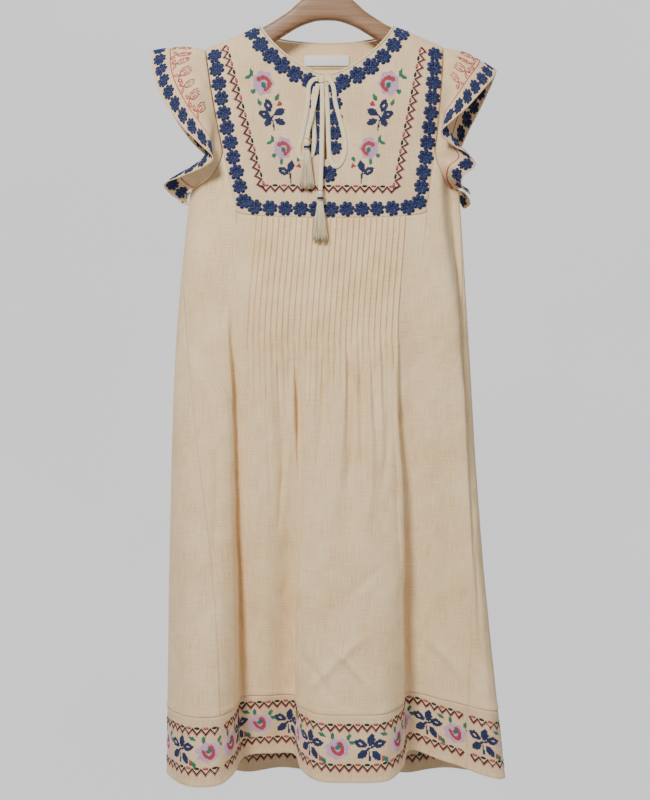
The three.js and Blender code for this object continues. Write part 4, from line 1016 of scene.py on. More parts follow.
def back_yoke():
    reach, end = YOKE_LINE.at(np.array([1.0, 0.0]))[:, 0]
    half = np.concatenate([np.linspace(0, 84, 42), np.linspace(86, 99, 18), [99.5, 100],
                           np.linspace(102, 168, 30)])
    top_x = np.concatenate([[reach], half[::-1], -half[1:], [end]])
    top_z = np.where(np.abs(top_x) < NECK_X, back_neck_z(top_x), shoulder_z(top_x)) - SHOULDER_CLEARANCE
    foot_right = YOKE_LINE.at(yoke_share_at_z(1, BACK_YOKE_FOOT_Z))[0]
    foot_left = YOKE_LINE.at(yoke_share_at_z(-1, BACK_YOKE_FOOT_Z))[0]
    foot_x = mix(foot_right, foot_left, (top_x - reach) / (end - reach))
    drop = np.linspace(0, 1, 25)[:, None] ** 2
    x = mix(top_x, foot_x, drop)
    z = np.minimum(mix(top_z, BACK_YOKE_FOOT_Z, drop), shoulder_z(x) - SHOULDER_CLEARANCE)
    at, out = cloth(*on_body("back", x, z))
    return shell("back_yoke_cloth", at, out, PAINTS["cloth"], weave=front_uv)


# Sleeves
class Sleeve:
    """A flutter sleeve: it leaves the armhole seam outwards, crowns, and falls to its free edge."""

    def __init__(self, side, table):
        self.side = side
        self.table = table
        self.shares = np.linspace(0, 1, SLEEVE_SAMPLES)
        self.seam = np.vstack([self.seam_points("front", self.shares[self.shares < 0.5] * 2),
                               self.seam_points("back", 2 - self.shares[self.shares >= 0.5] * 2)])
        edge = self.points(self.shares, np.full(SLEEVE_SAMPLES, 0.88))
        self.edge_length = lengths(edge)
        rows = [self.points(self.shares, np.full(SLEEVE_SAMPLES, k / 12)) for k in range(13)]
        self.fall = np.sum([np.linalg.norm(b - a, axis=1) for a, b in zip(rows, rows[1:])], axis=0)

    def seam_points(self, face, along):
        armhole_share, start = 0.4, 0.12
        turn = mix(start, 1, np.clip(along / armhole_share, 0, 1))
        lower = armhole(face, self.side, turn, SLEEVE_SEAM_GAP)
        corner = yoke_share_at_z(self.side, ARMHOLE_CORNER_Z)
        rise = np.clip((along - armhole_share) / (1 - armhole_share), 0, 1)
        tip = 0.0005 if self.side < 0 else 0.9995
        edge = yoke_outline(mix(corner, tip, 1 - (1 - rise) ** 1.6), SLEEVE_SEAM_GAP)
        upper = on_body(face, edge[:, 0], np.minimum(edge[:, 1], shoulder_z(edge[:, 0]) - 1e-3))
        low = along < armhole_share
        return body(np.where(low, lower[0], upper[0]), np.where(low, lower[1], upper[1]))

    def edge(self, share):
        table = self.table
        last = len(table) - 1
        first = np.clip(np.searchsorted(table[:, 0], share, side="right") - 1, 0, last - 1)
        near = [table[np.clip(first + k, 0, last)][..., 1:] for k in (-1, 0, 1, 2)]
        local = (share - table[first, 0]) / (table[first + 1, 0] - table[first, 0])
        return spline(*near, local[..., None])

    def direction(self, facing, sideways, forward, up):
        """A way off the sleeve: sideways, to the front or back that it faces, and up."""
        return np.stack([np.full(facing.shape, self.side * sideways), -facing * forward,
                         np.full(facing.shape, up)], -1)

    def points(self, share, out):
        share = np.clip(share, 0, 1)
        out = np.clip(out, 0, 1)[..., None]
        seam = np.stack([np.interp(share, self.shares, self.seam[:, k]) for k in range(3)], -1)
        edge = self.edge(share)
        facing = np.sign(0.5 - share) * np.minimum(1, np.abs(0.5 - share) * 8)
        crown = mix(seam, edge, CROWN_SHARE) + SLEEVE_CROWN * self.direction(facing, 0.7, 0.8, 0.45)
        rest = 1 - out
        at = seam * rest ** 2 + crown * 2 * rest * out + edge * out ** 2
        wave = (1 - np.cos(SLEEVE_PUCKERS * 2 * math.pi * share)) / 2
        wave = wave + 0.35 * np.sin(61 * share + 1) * np.sin(math.pi * share)
        fade = np.sin(math.pi * np.minimum(out[..., 0] * 1.6, 1)) * np.sin(math.pi * share)
        return at + self.direction(facing, 0.3, 1, 0.5) * (PUCKER_HEIGHT * wave * fade)[..., None]

    def sheet(self, across, out):
        """Points and the way out, with across from left to right as seen from outside."""
        share = across if self.side > 0 else 1 - across
        right = self.side * (self.points(share + STEP, out) - self.points(share - STEP, out))
        fall = self.points(share, out + STEP) - self.points(share, out - STEP)
        return self.points(share, out), unit(np.cross(fall, right))

    def shell(self, name):
        rows = np.concatenate([np.linspace(0, 0.93, 34), (0.945, 0.955, 0.965, 0.985, 1)])
        across, out = np.meshgrid(np.linspace(0, 1, 321), rows)
        at, way = self.sheet(across, out)
        rolled = 0.5 * smooth(out, 0.95, 0.96) * (1 - 0.6 * smooth(out, 0.985, 1))
        return shell(name, at, way, PAINTS["band"], rolled)

    def place(self, u, v):
        """Points of the cloth at distances along and above the free edge."""
        length = self.edge_length[-1]
        share = np.interp(u if self.side > 0 else length - u, self.edge_length, self.shares)
        out = 1 - v / np.interp(share, self.shares, self.fall)
        return self.sheet(share if self.side > 0 else 1 - share, np.clip(out, 0, 1))


# Embroidery on flat cloth: u to the right, v up and the height out of it, in millimetres
THREAD_BASE = 0.06
PAD_BASE = 0.08
WRONG_SIDE_HEIGHT = 0.7
WRONG_SIDE_SHADE = 0.8


class Stitches:
    """Raised stitches by colour, drawn flat and then laid on a piece of cloth."""

    def __init__(self):
        self.parts = {}

    def add(self, tint, points, faces, shade=0.5):
        points = np.asarray(points, float)
        shades = np.full(len(points), shade) if np.isscalar(shade) else shade
        self.parts.setdefault(tint, []).append((points, np.asarray(faces, int), shades))

    def thread(self, tint, path, width, height, closed=False, shade=0.6):
        """A ridge of thread along a path."""
        path = np.asarray(path, float)
        if closed:
            along = np.roll(path, -1, 0) - np.roll(path, 1, 0)
        else:
            along = np.gradient(path, axis=0)
        along = unit(along)
        side = np.stack([-along[:, 1], along[:, 0]], -1) * width / 2
        count = len(path)
        low = np.full((count, 1), THREAD_BASE)
        points = np.vstack([np.hstack([path - side, low]), np.hstack([path, np.full((count, 1), height)]),
                            np.hstack([path + side, low])])
        i = np.arange(count if closed else count - 1)
        j = (i + 1) % count
        faces = []
        for a, b in ((0, 1), (1, 2), (2, 0)):
            faces += [np.stack([i + a * count, j + a * count, j + b * count], -1),
                      np.stack([i + a * count, j + b * count, i + b * count], -1)]
        if not closed:
            end = count - 1
            faces.append([(0, count, 2 * count), (2 * count + end, count + end, end)])
        # Painted highlight on the crest of the ridge and painted shade on its flanks
        self.add(tint, points, np.vstack(faces), np.repeat((shade - 0.4, shade + 0.3, shade - 0.4), count))

    def pad(self, tint, outline, height, shade=0.3):
        """A low satin cushion inside an outline that runs anticlockwise."""
        outline = np.asarray(outline, float)
        count = len(outline)
        middle = outline.mean(0)
        rim = np.hstack([outline, np.full((count, 1), PAD_BASE)])
        points = np.vstack([rim, [[*middle, height]], [[*middle, 0.0]]])
        i = np.arange(count)
        j = (i + 1) % count
        faces = np.vstack([np.stack([i, j, np.full(count, count)], -1),
                           np.stack([j, i, np.full(count, count + 1)], -1)])
        # Painted highlight on the middle of the cushion and painted shade round its rim
        self.add(tint, points, faces, np.append(np.full(count, shade - 0.15), (shade + 0.15, 0)))

    def cells(self, tint, centres, size, height=0.6):
        """Counted stitches: a small pyramid on each square of the cloth."""
        half = 0.52 * size
        corners = np.array(((-half, -half), (half, -half), (half, half), (-half, half)))
        count = len(centres)
        base = np.concatenate([centres[:, None] + corners, np.full((count, 4, 1), PAD_BASE)], -1)
        top = np.concatenate([centres, np.full((count, 1), height)], -1)[:, None]
        points = np.concatenate([base, top], 1).reshape(-1, 3)
        block = np.array(((0, 1, 4), (1, 2, 4), (2, 3, 4), (3, 0, 4), (0, 3, 2), (0, 2, 1)))
        faces = (np.arange(count)[:, None, None] * 5 + block).reshape(-1, 3)
        # Painted highlight on each pyramid's tip and painted shade at its base, with a small random tone for
        # each stitch
        tone = rng.uniform(-0.1, 0.1, count)[:, None] + np.array((0.25, 0.25, 0.25, 0.25, 0.75))
        self.add(tint, points, faces, tone.ravel())

    def stamp(self, motif, u, v, turn=0.0, size=1.0, mirror=False):
        """A copy of another drawing, turned, scaled, mirrored and moved."""
        cos, sin = math.cos(turn), math.sin(turn)
        flip = -1 if mirror else 1
        for tint, rows in motif.parts.items():
            for points, faces, shade in rows:
                x = points[:, 0] * size * flip
                y = points[:, 1] * size
                moved = np.stack([u + x * cos - y * sin, v + x * sin + y * cos, points[:, 2]], -1)
                self.add(tint, moved, faces[:, ::-1] if mirror else faces, shade)

    def lay(self, name, place, base, wrong_side=False):
        """Pieces of thread on the cloth, one for each colour."""
        pieces = []
        for tint, rows in self.parts.items():
            points = np.vstack([row[0] for row in rows])
            starts = np.cumsum([0] + [len(row[0]) for row in rows[:-1]])
            faces = np.vstack([row[1] + start for row, start in zip(rows, starts)])
            shade = np.concatenate([row[2] for row in rows])
            at, out = place(points[:, 0], points[:, 1])
            blocks = [(at + out * (base + points[:, 2])[:, None], faces)]
            if wrong_side:
                behind = at - out * (CLOTH / 2 + WRONG_SIDE_HEIGHT * points[:, 2])[:, None]
                blocks.append((behind, faces[:, ::-1] + len(at)))
                # Painted shade: the copy on the wrong side is drawn darker
                shade = np.concatenate([shade, shade * WRONG_SIDE_SHADE])
            piece = make_piece(name + "_" + tint, np.vstack([b[0] for b in blocks]),
                               [np.vstack([b[1] for b in blocks])], PAINTS[tint],
                               np.vstack([points[:, :2] for _ in blocks]), shade)
            pieces.append(piece)
        return pieces


PETALS = 8
PETAL = np.array(((0.1, 0), (0.4, -0.17), (0.68, -0.25), (0.9, -0.2), (1, 0), (0.9, 0.2), (0.68, 0.25),
                  (0.4, 0.17)))


def daisy(size):
    """A round flower of looped petals."""
    drawing = Stitches()
    for k in range(PETALS):
        turn = 2 * math.pi * k / PETALS + rng.uniform(-0.06, 0.06)
        reach = size / 2 * rng.uniform(0.94, 1.04)
        spin = np.array(((math.cos(turn), math.sin(turn)), (-math.sin(turn), math.cos(turn))))
        # Dark pads with lighter loops on them: the loops' higher shade is a painted sheen on the raised
        # thread
        drawing.pad("blue", PETAL * reach * (1, 1.15) @ spin, 0.55, 0.1)
        drawing.thread("blue", (PETAL * (0.86, 0.8) + (0.06, 0)) * reach @ spin, 1.1, 0.85, True, 0.75)
    ring = np.stack([np.cos(np.arange(6) * math.pi / 3), np.sin(np.arange(6) * math.pi / 3)], -1)
    drawing.pad("blue", ring * 0.13 * size, 0.9, 0.5)
    return drawing


# Counted motifs, as shapes that are filled with stitches on a square count. Each row is colour, form,
# place, half length, half width and turn in degrees; later rows lie over earlier ones
STITCH = 1.7
LEAF_FLOWER = (
    ("blue", "leaf", -5, 13, 9.5, 5.5, 105), ("", "leaf", -5, 13, 2.8, 0.9, 105),
    ("blue", "leaf", -10, 1, 9.5, 5.6, 155), ("", "leaf", -11, 1.5, 2.8, 0.9, 155),
    ("blue", "leaf", -5, -9, 8, 4.6, 235),
    ("blue", "leaf", 10, 4, 8.5, 5.2, 25),
    ("blue", "leaf", 11, -9, 8, 4.6, -25),
    ("blue", "oval", 1, -2, 6, 1.3, 60), ("blue", "oval", 2, -14, 8, 1.2, 100),
    ("green", "leaf", -17, 17, 6, 2.6, 110), ("green", "leaf", 7, 24, 6, 2.8, 65),
    ("red", "bud", 9, 14, 4.4, 4.2, 40),
)
HALF_FLOWER = (
    ("blue", "leaf", -6, 1, 9, 5.4, 150), ("", "leaf", -6.5, 1.2, 2.8, 0.9, 150),
    ("blue", "leaf", 4, 8, 9, 5, 75),
    ("blue", "oval", 4, -8, 9, 1.2, 95),
    ("green", "leaf", -9, 15, 6, 2.6, 95), ("green", "leaf", 15, 18, 5, 2.8, 60),
    ("red", "bud", 14, 8, 4.2, 4, 20),
)
ROSE = (
    ("lilac", "lobed", 0, 0, 15.5, 18.5, 0),
    ("red", "crescent", 1, -1, 10.5, 11.5, 35), ("red", "oval", -5, 7, 4, 2, 20),
    ("green", "oval", 0.5, -3, 3.6, 4.6, 15),
    ("green", "leaf", -17, 15, 6.5, 2.8, 105), ("green", "leaf", -21, 9, 5.5, 2.6, 25),
    ("green", "oval", -14, -12, 4, 3.4, 30),
)
BAND_FLOWER = (
    ("blue", "leaf", -11, 5, 8.4, 4.8, 160), ("", "leaf", -11.5, 5, 2.6, 0.9, 160),
    ("blue", "leaf", -9, -7, 7.6, 4.4, 215),
    ("blue", "leaf", 1, 9, 8, 4.8, 75),
    ("blue", "leaf", 11, 4, 8.4, 4.8, 10), ("", "leaf", 11.5, 4, 2.6, 0.9, 10),
    ("blue", "leaf", 7, -9, 7.6, 4.2, -50),
    ("blue", "oval", 0, 0, 6, 1.3, 20), ("blue", "oval", -1, -10, 6, 1.1, 95),
    ("red", "bud", 15, -12, 3.8, 3.6, -70), ("green", "leaf", 19, -15, 5, 2.8, -50),
    ("green", "leaf", 17, 14, 5, 2.2, -20),
)
BAND_ROSE = (
    ("lilac", "lobed", 0, -1, 15.5, 12.5, 10),
    ("red", "crescent", 0, 0, 10.5, 7.6, -60), ("red", "oval", 3, 5, 4, 1.8, -10),
    ("green", "oval", 0.5, 0.5, 4, 2.6, 20),
    ("green", "leaf", -6, 14, 4.2, 2.6, 95), ("green", "leaf", 14, 13, 5, 2.4, 70),
    ("green", "leaf", 17, 6, 4, 2.2, -5),
)


def inside(form, p, q):
    """Whether points lie in a form of half sizes 1, along p and across q."""
    radius = np.hypot(p, q)
    angle = np.arctan2(q, p)
    if form == "leaf":
        return np.abs(q) < 1 - p * p
    if form == "bud":
        return (p > -1) & (p < 1) & (np.abs(q) < (p + 1) / 2)
    if form == "lobed":
        return radius < 0.94 + 0.08 * np.cos(7 * angle)
    if form == "crescent":
        return (radius < 1) & (radius > 0.5) & (np.abs(angle) < 2.2)
    return radius < 1


def counted(shapes, size, reach=36):
    """A motif of counted stitches, with its shapes drawn larger or smaller by a size."""
    count = int(reach / STITCH)
    steps = np.arange(-count, count + 1) * STITCH
    u, v = (axis.ravel() for axis in np.meshgrid(steps, steps))
    tints = np.full(len(u), "", dtype=object)
    for tint, form, at_u, at_v, half_length, half_width, turn in shapes:
        cos, sin = math.cos(math.radians(turn)), math.sin(math.radians(turn))
        off_u = u / size - at_u
        off_v = v / size - at_v
        p = (off_u * cos + off_v * sin) / half_length
        q = (off_v * cos - off_u * sin) / half_width
        tints[inside(form, p, q)] = tint
    drawing = Stitches()
    for tint in ("blue", "lilac", "red", "green"):
        chosen = tints == tint
        if chosen.any():
            drawing.cells(tint, np.stack([u[chosen], v[chosen]], -1), STITCH)
    return drawing


CHEVRON_PITCH = 12.6
CHEVRON_RISE = 3.7


def chevron(drawing, start, end):
    """A black zigzag with a red one under it, and caps of both colours by turns on its left."""
    start, end = np.asarray(start, float), np.asarray(end, float)
    length = np.linalg.norm(end - start)
    along = (end - start) / length
    left = np.array((-along[1], along[0]))
    count = max(1, round(length / CHEVRON_PITCH))
    pitch = length / count

    def spot(s, n):
        return start + along * s + left * n

    zigzag = [(k * pitch / 2, CHEVRON_RISE if k % 2 == 0 else -CHEVRON_RISE) for k in range(2 * count + 1)]
    drawing.thread("red", [spot(s, n - 2.7) for s, n in zigzag], 1.8, 0.5, False, 0.5)
    drawing.thread("black", [spot(s, n) for s, n in zigzag], 3.3, 0.75, False, 0.3)
    turns = 2 * math.pi * np.arange(8) / 8
    for k in range(count):
        middle = (k + 0.5) * pitch
        ring = [spot(middle + 4.3 * math.cos(t), CHEVRON_RISE + 0.7 + 2.0 * math.sin(t)) for t in turns]
        drawing.pad("black" if k % 2 else "red", ring, 0.8, 0.5)


# Lines of a tulip, and whether each is closed
TULIP = (
    (((-5, 0), (-6, 6), (-4, 12), (-1.5, 8), (0, 13), (1.5, 8), (4, 12), (6, 6), (5, 0), (2, -3), (-2, -3)),
     True),
    (((-2.2, 0), (-2.4, 3), (-2.2, 6)), False), (((2.2, 0), (2.4, 3), (2.2, 6)), False),
    (((0, -3), (0.8, -6), (2.5, -9), (6, -11)), False),
    (((2.5, -9), (6, -6), (10, -7), (9, -10)), True), (((-1, -5), (-5, -6), (-8, -10), (-3, -9)), True),
)


def tulip():
    drawing = Stitches()
    for path, closed in TULIP:
        drawing.thread("red", path, 1.9, 0.7, closed, 0.3)
    return drawing


DAISIES = [daisy(24.4) for _ in range(4)]
MOTIFS = {name: counted(shapes, size) for name, shapes, size in (
    ("leaf_flower", LEAF_FLOWER, 1.18), ("half_flower", HALF_FLOWER, 1.14), ("rose", ROSE, 1.02),
    ("band_flower", BAND_FLOWER, 1.2), ("band_rose", BAND_ROSE, 1.15))}
DAISY_PITCH = 22.2


def daisies_along(drawing, points, size=1.0):
    for k, (u, v) in enumerate(points):
        drawing.stamp(DAISIES[k % 4], u, v, rng.uniform(0, 0.8), size * rng.uniform(0.96, 1.03))


# Embroidery of the yoke: insets of its daisies, its motifs by place and size, and its chevron's corners
BORDER_INSET = 12
BORDER_CLEARANCE = 11.7
NECK_INSET = 14
NECK_DAISIES = 6
SLIT_INSET = 13.5
SLIT_DAISY_TOP = -214
SLIT_DAISY_STEP = 21.4
FOOT_DAISY = (2.5, -338)
RIGHT_MOTIF_LEAN = 3
YOKE_MOTIFS = (("rose", 93, -205, 1), ("leaf_flower", 80, -252, 0.92), ("rose", 64, -300, 0.9),
               ("half_flower", 57, -335, 0.9))
CHEVRON_CORNERS = ((-151, -146), (-95, -359), (100, -361), (141, -150))


def yoke_stitches():
    drawing = Stitches()
    outline = yoke_outline(np.linspace(0, 1, 500), 0)
    inset = yoke_outline(np.linspace(0.012, 0.988, 500), -BORDER_INSET)
    nearest = np.linalg.norm(inset[:, None] - outline[None], axis=2).min(1)
    border = Line(inset[nearest > BORDER_CLEARANCE])
    count = round(border.length / DAISY_PITCH)
    daisies_along(drawing, border.at((np.arange(count) + 0.4) / (count - 0.2)))
    for side in (-1, 1):
        neck = np.linspace(0.004, SLIT_TOP_SHARE - 0.002, 200)
        line = Line(yoke_inner_edge(neck if side < 0 else 1 - neck))
        shares = (np.arange(NECK_DAISIES) + 0.35) / (NECK_DAISIES + 0.2)
        heading = line.heading(shares)
        inward = side * np.stack([-heading[:, 1], heading[:, 0]], -1)
        daisies_along(drawing, line.at(shares) + NECK_INSET * inward, 1.07)
        heights = np.arange(SLIT_DAISY_TOP, SLIT_FOOT_Z - 2, -SLIT_DAISY_STEP)
        daisies_along(drawing, [(SLIT_X + side * SLIT_INSET, z) for z in heights], 0.95)
        mirror = side > 0
        lean = RIGHT_MOTIF_LEAN if mirror else 0
        for motif, x, z, size in YOKE_MOTIFS:
            drawing.stamp(MOTIFS[motif], side * x - lean, z, 0, size, mirror)
    daisies_along(drawing, [FOOT_DAISY], 1.05)
    for start, end in zip(CHEVRON_CORNERS, CHEVRON_CORNERS[1:]):
        chevron(drawing, start, end)
    return drawing


def place_on_yoke(u, v):
    return cloth(*on_body("front", u, np.minimum(v, shoulder_z(u) - SHOULDER_CLEARANCE)))


LOWER_CHEVRON = 20.5
UPPER_CHEVRON = 75
MOTIF_HEIGHT = 48
MOTIF_STEP = 42.5
# Distances of the motifs from the front band's left seam
FRONT_BAND_FLOWERS = (60, 144, 221, 309, 447)
FRONT_BAND_ROSES = (20, 100, 183, 263, 357, 403, 489)
BACK_BAND_FIRST = 26
BACK_BAND_LAST = 20
BAND_SAMPLES = 1201


class Band:
    """Distances along and above the hem of a band, between two side seams."""

    def __init__(self, seams):
        middle = (BAND_TOP + HEM) / 2
        low, high = (float(side(np.array([middle]))[0]) for side in seams)
        self.places = np.linspace(low, high, BAND_SAMPLES)
        self.along = lengths(body(self.places, np.full(BAND_SAMPLES, middle)))
        self.levels = np.linspace(HEM, BAND_TOP - 0.04, 15)
        rows = [body(self.places, np.full(BAND_SAMPLES, at)) for at in self.levels]
        steps = [np.linalg.norm(b - a, axis=1) for a, b in zip(rows, rows[1:])]
        self.rise = np.vstack([np.zeros((1, BAND_SAMPLES)), np.cumsum(steps, axis=0)])
        self.rise_shares = self.rise.mean(1) / self.rise[-1].mean()
        self.seam_share = float(np.interp(-BAND_TOP, -self.levels, self.rise_shares))

    def place(self, u, v):
        place = np.interp(u, self.along, self.places)
        share = v / np.interp(u, self.along, self.rise[-1])
        return cloth(place, np.interp(share, self.rise_shares, self.levels))

    def stitches(self, motifs):
        """Two chevron rows with motifs between them, and the raised seam above."""
        drawing = Stitches()
        length = self.along[-1]
        for height in (LOWER_CHEVRON, UPPER_CHEVRON):
            chevron(drawing, (5, height), (length - 5, height))
        for motif, u in motifs:
            drawing.stamp(MOTIFS[motif], u, MOTIF_HEIGHT)
        along = np.linspace(1, length - 1, 400)
        above = np.interp(along, self.along, self.rise[-1]) * self.seam_share + 2.2
        drawing.thread("trim", np.stack([along, above], -1), 1.8, 1.1, False, 0.5)
        return drawing


# Embroidery of the sleeves: heights above the free edge, and where the fall leaves room for tulips
SLEEVE_DAISY_HEIGHT = 13.5
SLEEVE_LINE_HEIGHT = 31.0
TULIP_HEIGHT = 47
TULIP_STEP = 27
TULIP_FALL = 78


def sleeve_stitches(sleeve):
    drawing = Stitches()
    length = sleeve.edge_length[-1]
    count = round(length / (DAISY_PITCH * 1.02))
    daisies_along(drawing, [((k + 0.5) * length / count, SLEEVE_DAISY_HEIGHT) for k in range(count)], 0.97)
    line = [(u, SLEEVE_LINE_HEIGHT) for u in np.linspace(4, length - 4, 240)]
    drawing.thread("red", line, 1.8, 0.6, False, 0.4)
    flower = tulip()
    for u in np.arange(60, length - 50, TULIP_STEP):
        share = np.interp(u if sleeve.side > 0 else length - u, sleeve.edge_length, sleeve.shares)
        if np.interp(share, sleeve.shares, sleeve.fall) > TULIP_FALL:
            drawing.stamp(flower, u, TULIP_HEIGHT, rng.uniform(-0.3, 0.3), 1.25, bool(round(u) % 2))
    return drawing


def both_sides(name, drawing, place):
    """Threads on a piece whose wrong side shows too."""
    return drawing.lay(name, place, CLOTH / 2, True)


# Cloth pieces with what is sewn on them
front_panel_piece = front_panel()
back_panel_piece = back_panel()
front_yoke_piece = front_yoke()
back_yoke_piece = back_yoke()
front_band_piece = hem_band("front_hem_band_cloth", FRONT_SEAMS, 401)
back_band_piece = hem_band("back_hem_band_cloth", BACK_SEAMS, 561)
sleeve_left = Sleeve(-1, LEFT_SLEEVE)
sleeve_right = Sleeve(1, RIGHT_SLEEVE)
sleeve_left_piece = sleeve_left.shell("sleeve_left_cloth")
sleeve_right_piece = sleeve_right.shell("sleeve_right_cloth")

yoke_threads = yoke_stitches().lay("front_yoke", place_on_yoke, CLOTH / 2 + YOKE_LIFT)
front_band = Band(FRONT_SEAMS)
back_band = Band(BACK_SEAMS)
front_motifs = [("band_flower", u) for u in FRONT_BAND_FLOWERS]
front_motifs += [("band_rose", u) for u in FRONT_BAND_ROSES]
back_span = back_band.along[-1] - BACK_BAND_FIRST - BACK_BAND_LAST
back_count = 2 * round((back_span / MOTIF_STEP - 1) / 2) + 1
back_motifs = [("band_rose" if k % 2 else "band_flower", BACK_BAND_FIRST + back_span * k / back_count)
               for k in range(back_count + 1)]
front_band_threads = both_sides("front_hem_band", front_band.stitches(front_motifs), front_band.place)
back_band_threads = both_sides("back_hem_band", back_band.stitches(back_motifs), back_band.place)
sleeve_left_threads = both_sides("sleeve_left", sleeve_stitches(sleeve_left), sleeve_left.place)
sleeve_right_threads = both_sides("sleeve_right", sleeve_stitches(sleeve_right), sleeve_right.place)


# Neck binding and label
def neck_binding():
    offset = BINDING_RADIUS + SEAM_GAP + 0.1
    tip = NECK_X - offset

    def inset(edge, x):
        slope = edge(x + 0.5) - edge(x - 0.5)
        length = np.hypot(slope, 1)
        return x - slope / length * offset, edge(x) + offset / length

    def half(side):
        front_x = side * np.array((6, 16, 28, 42, 56, 70, 82, 91, 96, 98.8))
        back_x = side * np.array((99, 97, 93, 84, 70, 50, 26, 0))
        rows = [("front", *inset(front_neck_z, front_x)),
                ("front", np.array([side * tip]), np.array([shoulder_z(tip) - 0.01])),
                ("back", *inset(back_neck_z, back_x))]
        points = []
        for face, x, z in rows:
            at, out = cloth(*on_body(face, x, z))
            points.append(at + out)
        return np.vstack(points)

    line = Line(np.vstack([half(-1), half(1)[-2::-1]]))
    rings = strand_rings(line.at(np.linspace(0, 1, BINDING_STEPS)), BINDING_RADIUS, BINDING_SIDES)
    points, faces = ring_faces(rings)
    round_it = np.tile(np.arange(BINDING_SIDES) * 0.7, BINDING_STEPS)
    along_it = np.repeat(np.linspace(0, line.length, BINDING_STEPS), BINDING_SIDES)
    uv = np.vstack([np.stack([round_it, along_it], -1), np.zeros((2, 2))])
    return make_piece("neck_binding_roll", points, faces, PAINTS["trim"], uv)


def neck_label():
    across, down = np.meshgrid(np.linspace(0, 1, 61), np.linspace(0, 1, 21))
    x = mix(LABEL_WIDTH / 2, -LABEL_WIDTH / 2, across)
    at, out = cloth(*on_body("back", x, LABEL_TOP_Z - down * LABEL_HEIGHT))
    inside_by = 1.5 + 0.5 * np.sin(math.pi * across) * np.sin(math.pi * down)
    sewn = 0.25 * (smooth(across, 0.05, 0.03) + smooth(across, 0.95, 0.97))
    middle = at - out * (inside_by - 0.6 * sewn)[..., None]
    return shell("neck_label_weave", middle, out, PAINTS["label"], 0, LABEL_THICKNESS)


binding = neck_binding()
label = neck_label()


# Hanger
def hanger_wood():
    half = np.linspace(0, HANGER_HALF, 86)
    first = np.clip(np.searchsorted(HANGER[:, 0], half, side="right") - 1, 0, len(HANGER) - 2)
    mirrored = np.vstack([HANGER[1] * (-1, 1, 1, 1), HANGER, HANGER[-1]])
    local = (half - HANGER[first, 0]) / (HANGER[first + 1, 0] - HANGER[first, 0])
    rows = spline(*[mirrored[first + k] for k in range(4)], local[:, None])
    end = np.sqrt(1 - np.clip((half - HANGER_TIP_START) / HANGER_TIP_LENGTH, 0, 1) ** 2)
    middle = (rows[:, 1] + rows[:, 2]) / 2
    height = (rows[:, 1] - rows[:, 2]) / 2 * end
    thick = rows[:, 3] / 2 * end
    turns = 2 * math.pi * np.arange(HANGER_SIDES) / HANGER_SIDES
    cos, sin = np.cos(turns), np.sin(turns)
    bulge = 2 / 3.2
    y = np.outer(thick, np.sign(cos) * np.abs(cos) ** bulge)
    z = middle[:, None] + np.outer(height, np.sign(sin) * np.abs(sin) ** bulge)
    rings = np.stack([np.repeat(half[:, None], HANGER_SIDES, 1), y, z], -1)
    rings = np.vstack([(rings * (-1, 1, 1))[:0:-1], rings])
    return make_piece("hanger_wood_turned", *ring_faces(rings), PAINTS["wood"])


def hanger_hook():
    radius = HOOK_INNER_RADIUS + HOOK_WIRE / 2
    angles = np.radians(np.arange(-52, 206, 17))
    bend = np.stack([radius * np.cos(angles), 0 * angles, radius * np.sin(angles) - HOOK_INNER_RADIUS], -1)
    line = Line(np.vstack([[(0, 0, -60), (0, 0, -50), (0, 0, -45.5)], bend]))
    shares = np.concatenate([np.linspace(0, 0.99, 110), [0.994, 0.997, 0.999, 1]])
    rings = strand_rings(line.at(shares), 1.0, 20) - line.at(shares)[:, None]
    tip = np.concatenate([np.ones(110), [0.93, 0.75, 0.5, 0.2]])
    rings = rings * (HOOK_WIRE / 2 * tip)[:, None, None] + line.at(shares)[:, None]
    return make_piece("hanger_hook_wire", *ring_faces(rings), PAINTS["steel"])


hanger = hanger_wood()
hook = hanger_hook()

# Each piece, the imported part it stands for, and a finish; the imported parts are hidden
for piece, node, slot in (
    (front_panel_piece, "front_panel", "cloth"), (back_panel_piece, "back_panel", "cloth"),
    (front_yoke_piece, "front_yoke", "cloth"), (back_yoke_piece, "back_yoke", "cloth"),
    (front_band_piece, "front_hem_band", "trim"), (back_band_piece, "back_hem_band", "trim"),
    (sleeve_left_piece, "sleeve_left", "cloth"), (sleeve_right_piece, "sleeve_right", "cloth"),
    (binding, "neck_binding", "trim"), (label, "neck_label", "label"),
    (hanger, "hanger_wood", "wood"), (hook, "hanger_hook", "steel"),
):
    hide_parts(node)

# Floor, light and background
FLOOR_Z = -1.7
FLOOR_RADIUS = 1.05
FLOOR_SIDES = 96


def stage_piece(name, points, paint):
    """One flat face of the stage."""
    mesh = bpy.data.meshes.new(name)
    mesh.from_pydata(points, [], [list(range(len(points)))])
    mesh.materials.append(paint)
    piece = bpy.data.objects.new(name, mesh)
    bpy.context.scene.collection.objects.link(piece)
    return piece


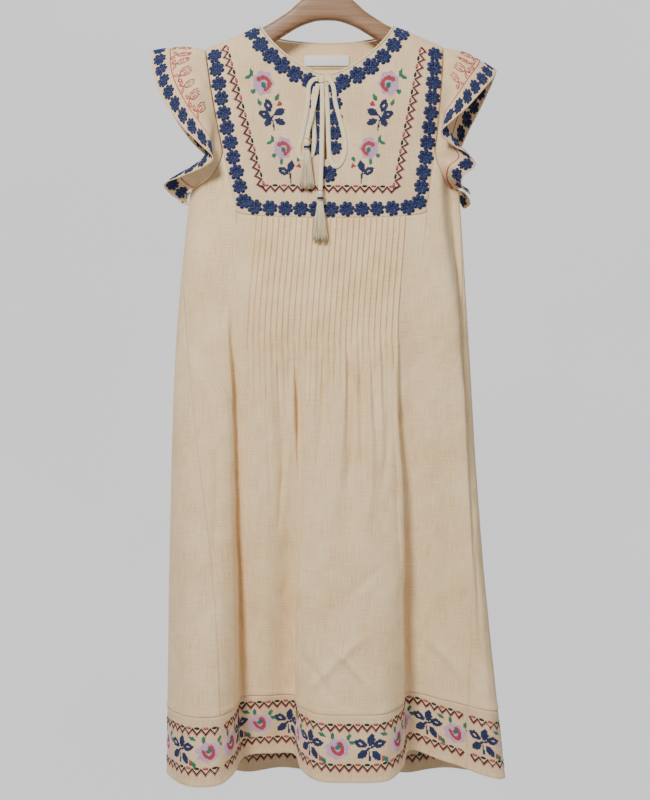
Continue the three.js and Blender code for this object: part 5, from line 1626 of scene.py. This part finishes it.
turns = 2 * math.pi * np.arange(FLOOR_SIDES) / FLOOR_SIDES
floor_rim = [(FLOOR_RADIUS * math.cos(t), FLOOR_RADIUS * math.sin(t), FLOOR_Z) for t in turns]
floor_paint = Paint("pale_floor")
floor_place = floor_paint.add("ShaderNodeTexCoord", "Object")
floor_grain = floor_paint.noise(floor_place, (6, 6, 6), 4.0)
floor = stage_piece("floor", floor_rim, floor_paint.finish(
    floor_paint.ramp(floor_grain, [(0.3, "cfd0d2"), (0.7, "d8d9db")]),
    floor_paint.ramp(floor_grain, [(0.3, 0.8), (0.7, 0.7)]), floor_grain, 0.05, 0.001))

# A pale wall far behind, that shines by itself so it keeps its tone
wall_corners = [(-4, 3.4, -4), (4, 3.4, -4), (4, 3.4, 3), (-4, 3.4, 3)]
wall_paint = Paint("pale_wall", Emission_Strength=1.12, Specular_IOR_Level=0.0)
wall_place = wall_paint.add("ShaderNodeTexCoord", "Object")
wall_grain = wall_paint.noise(wall_place, (0.5, 0.5, 0.7), 3.0)
wall_tone = wall_paint.ramp(wall_grain, [(0.3, "f4f5f8"), (0.7, "fdfdff")])
wall_paint.tree.links.new(wall_tone, wall_paint.shader.inputs["Emission Color"])
wall = stage_piece("wall", wall_corners, wall_paint.finish(
    wall_paint.ramp(wall_grain, [(0.3, 0.004), (0.7, 0.006)]),
    wall_paint.ramp(wall_grain, [(0.3, 0.9), (0.7, 0.95)]), wall_grain, 0.02, 0.001))


def area_light(name, place, aim, size, power):
    light = bpy.data.lights.new(name, "AREA")
    light.shape = "DISK"
    light.size = size
    light.energy = power
    lamp = bpy.data.objects.new(name, light)
    lamp.location = place
    way = np.array(aim, float) - np.array(place, float)
    across = math.hypot(way[0], way[1])
    lamp.rotation_euler = (math.atan2(across, -way[2]), 0, math.atan2(-way[0], way[1]))
    bpy.context.scene.collection.objects.link(lamp)


area_light("key", (-0.9, -2.0, 1.0), (0, 0, -0.7), 0.7, 88)
area_light("fill", (1.9, -1.3, -0.1), (0, 0, -0.7), 1.4, 12)
area_light("rear", (-0.9, 2.0, 0.8), (0, 0, -0.6), 1.5, 26)

world = bpy.data.worlds.new("studio")
world.use_nodes = True
world.node_tree.nodes["Background"].inputs["Color"].default_value = colour("c4c5c9")
world.node_tree.nodes["Background"].inputs["Strength"].default_value = 0.5
bpy.context.scene.world = world
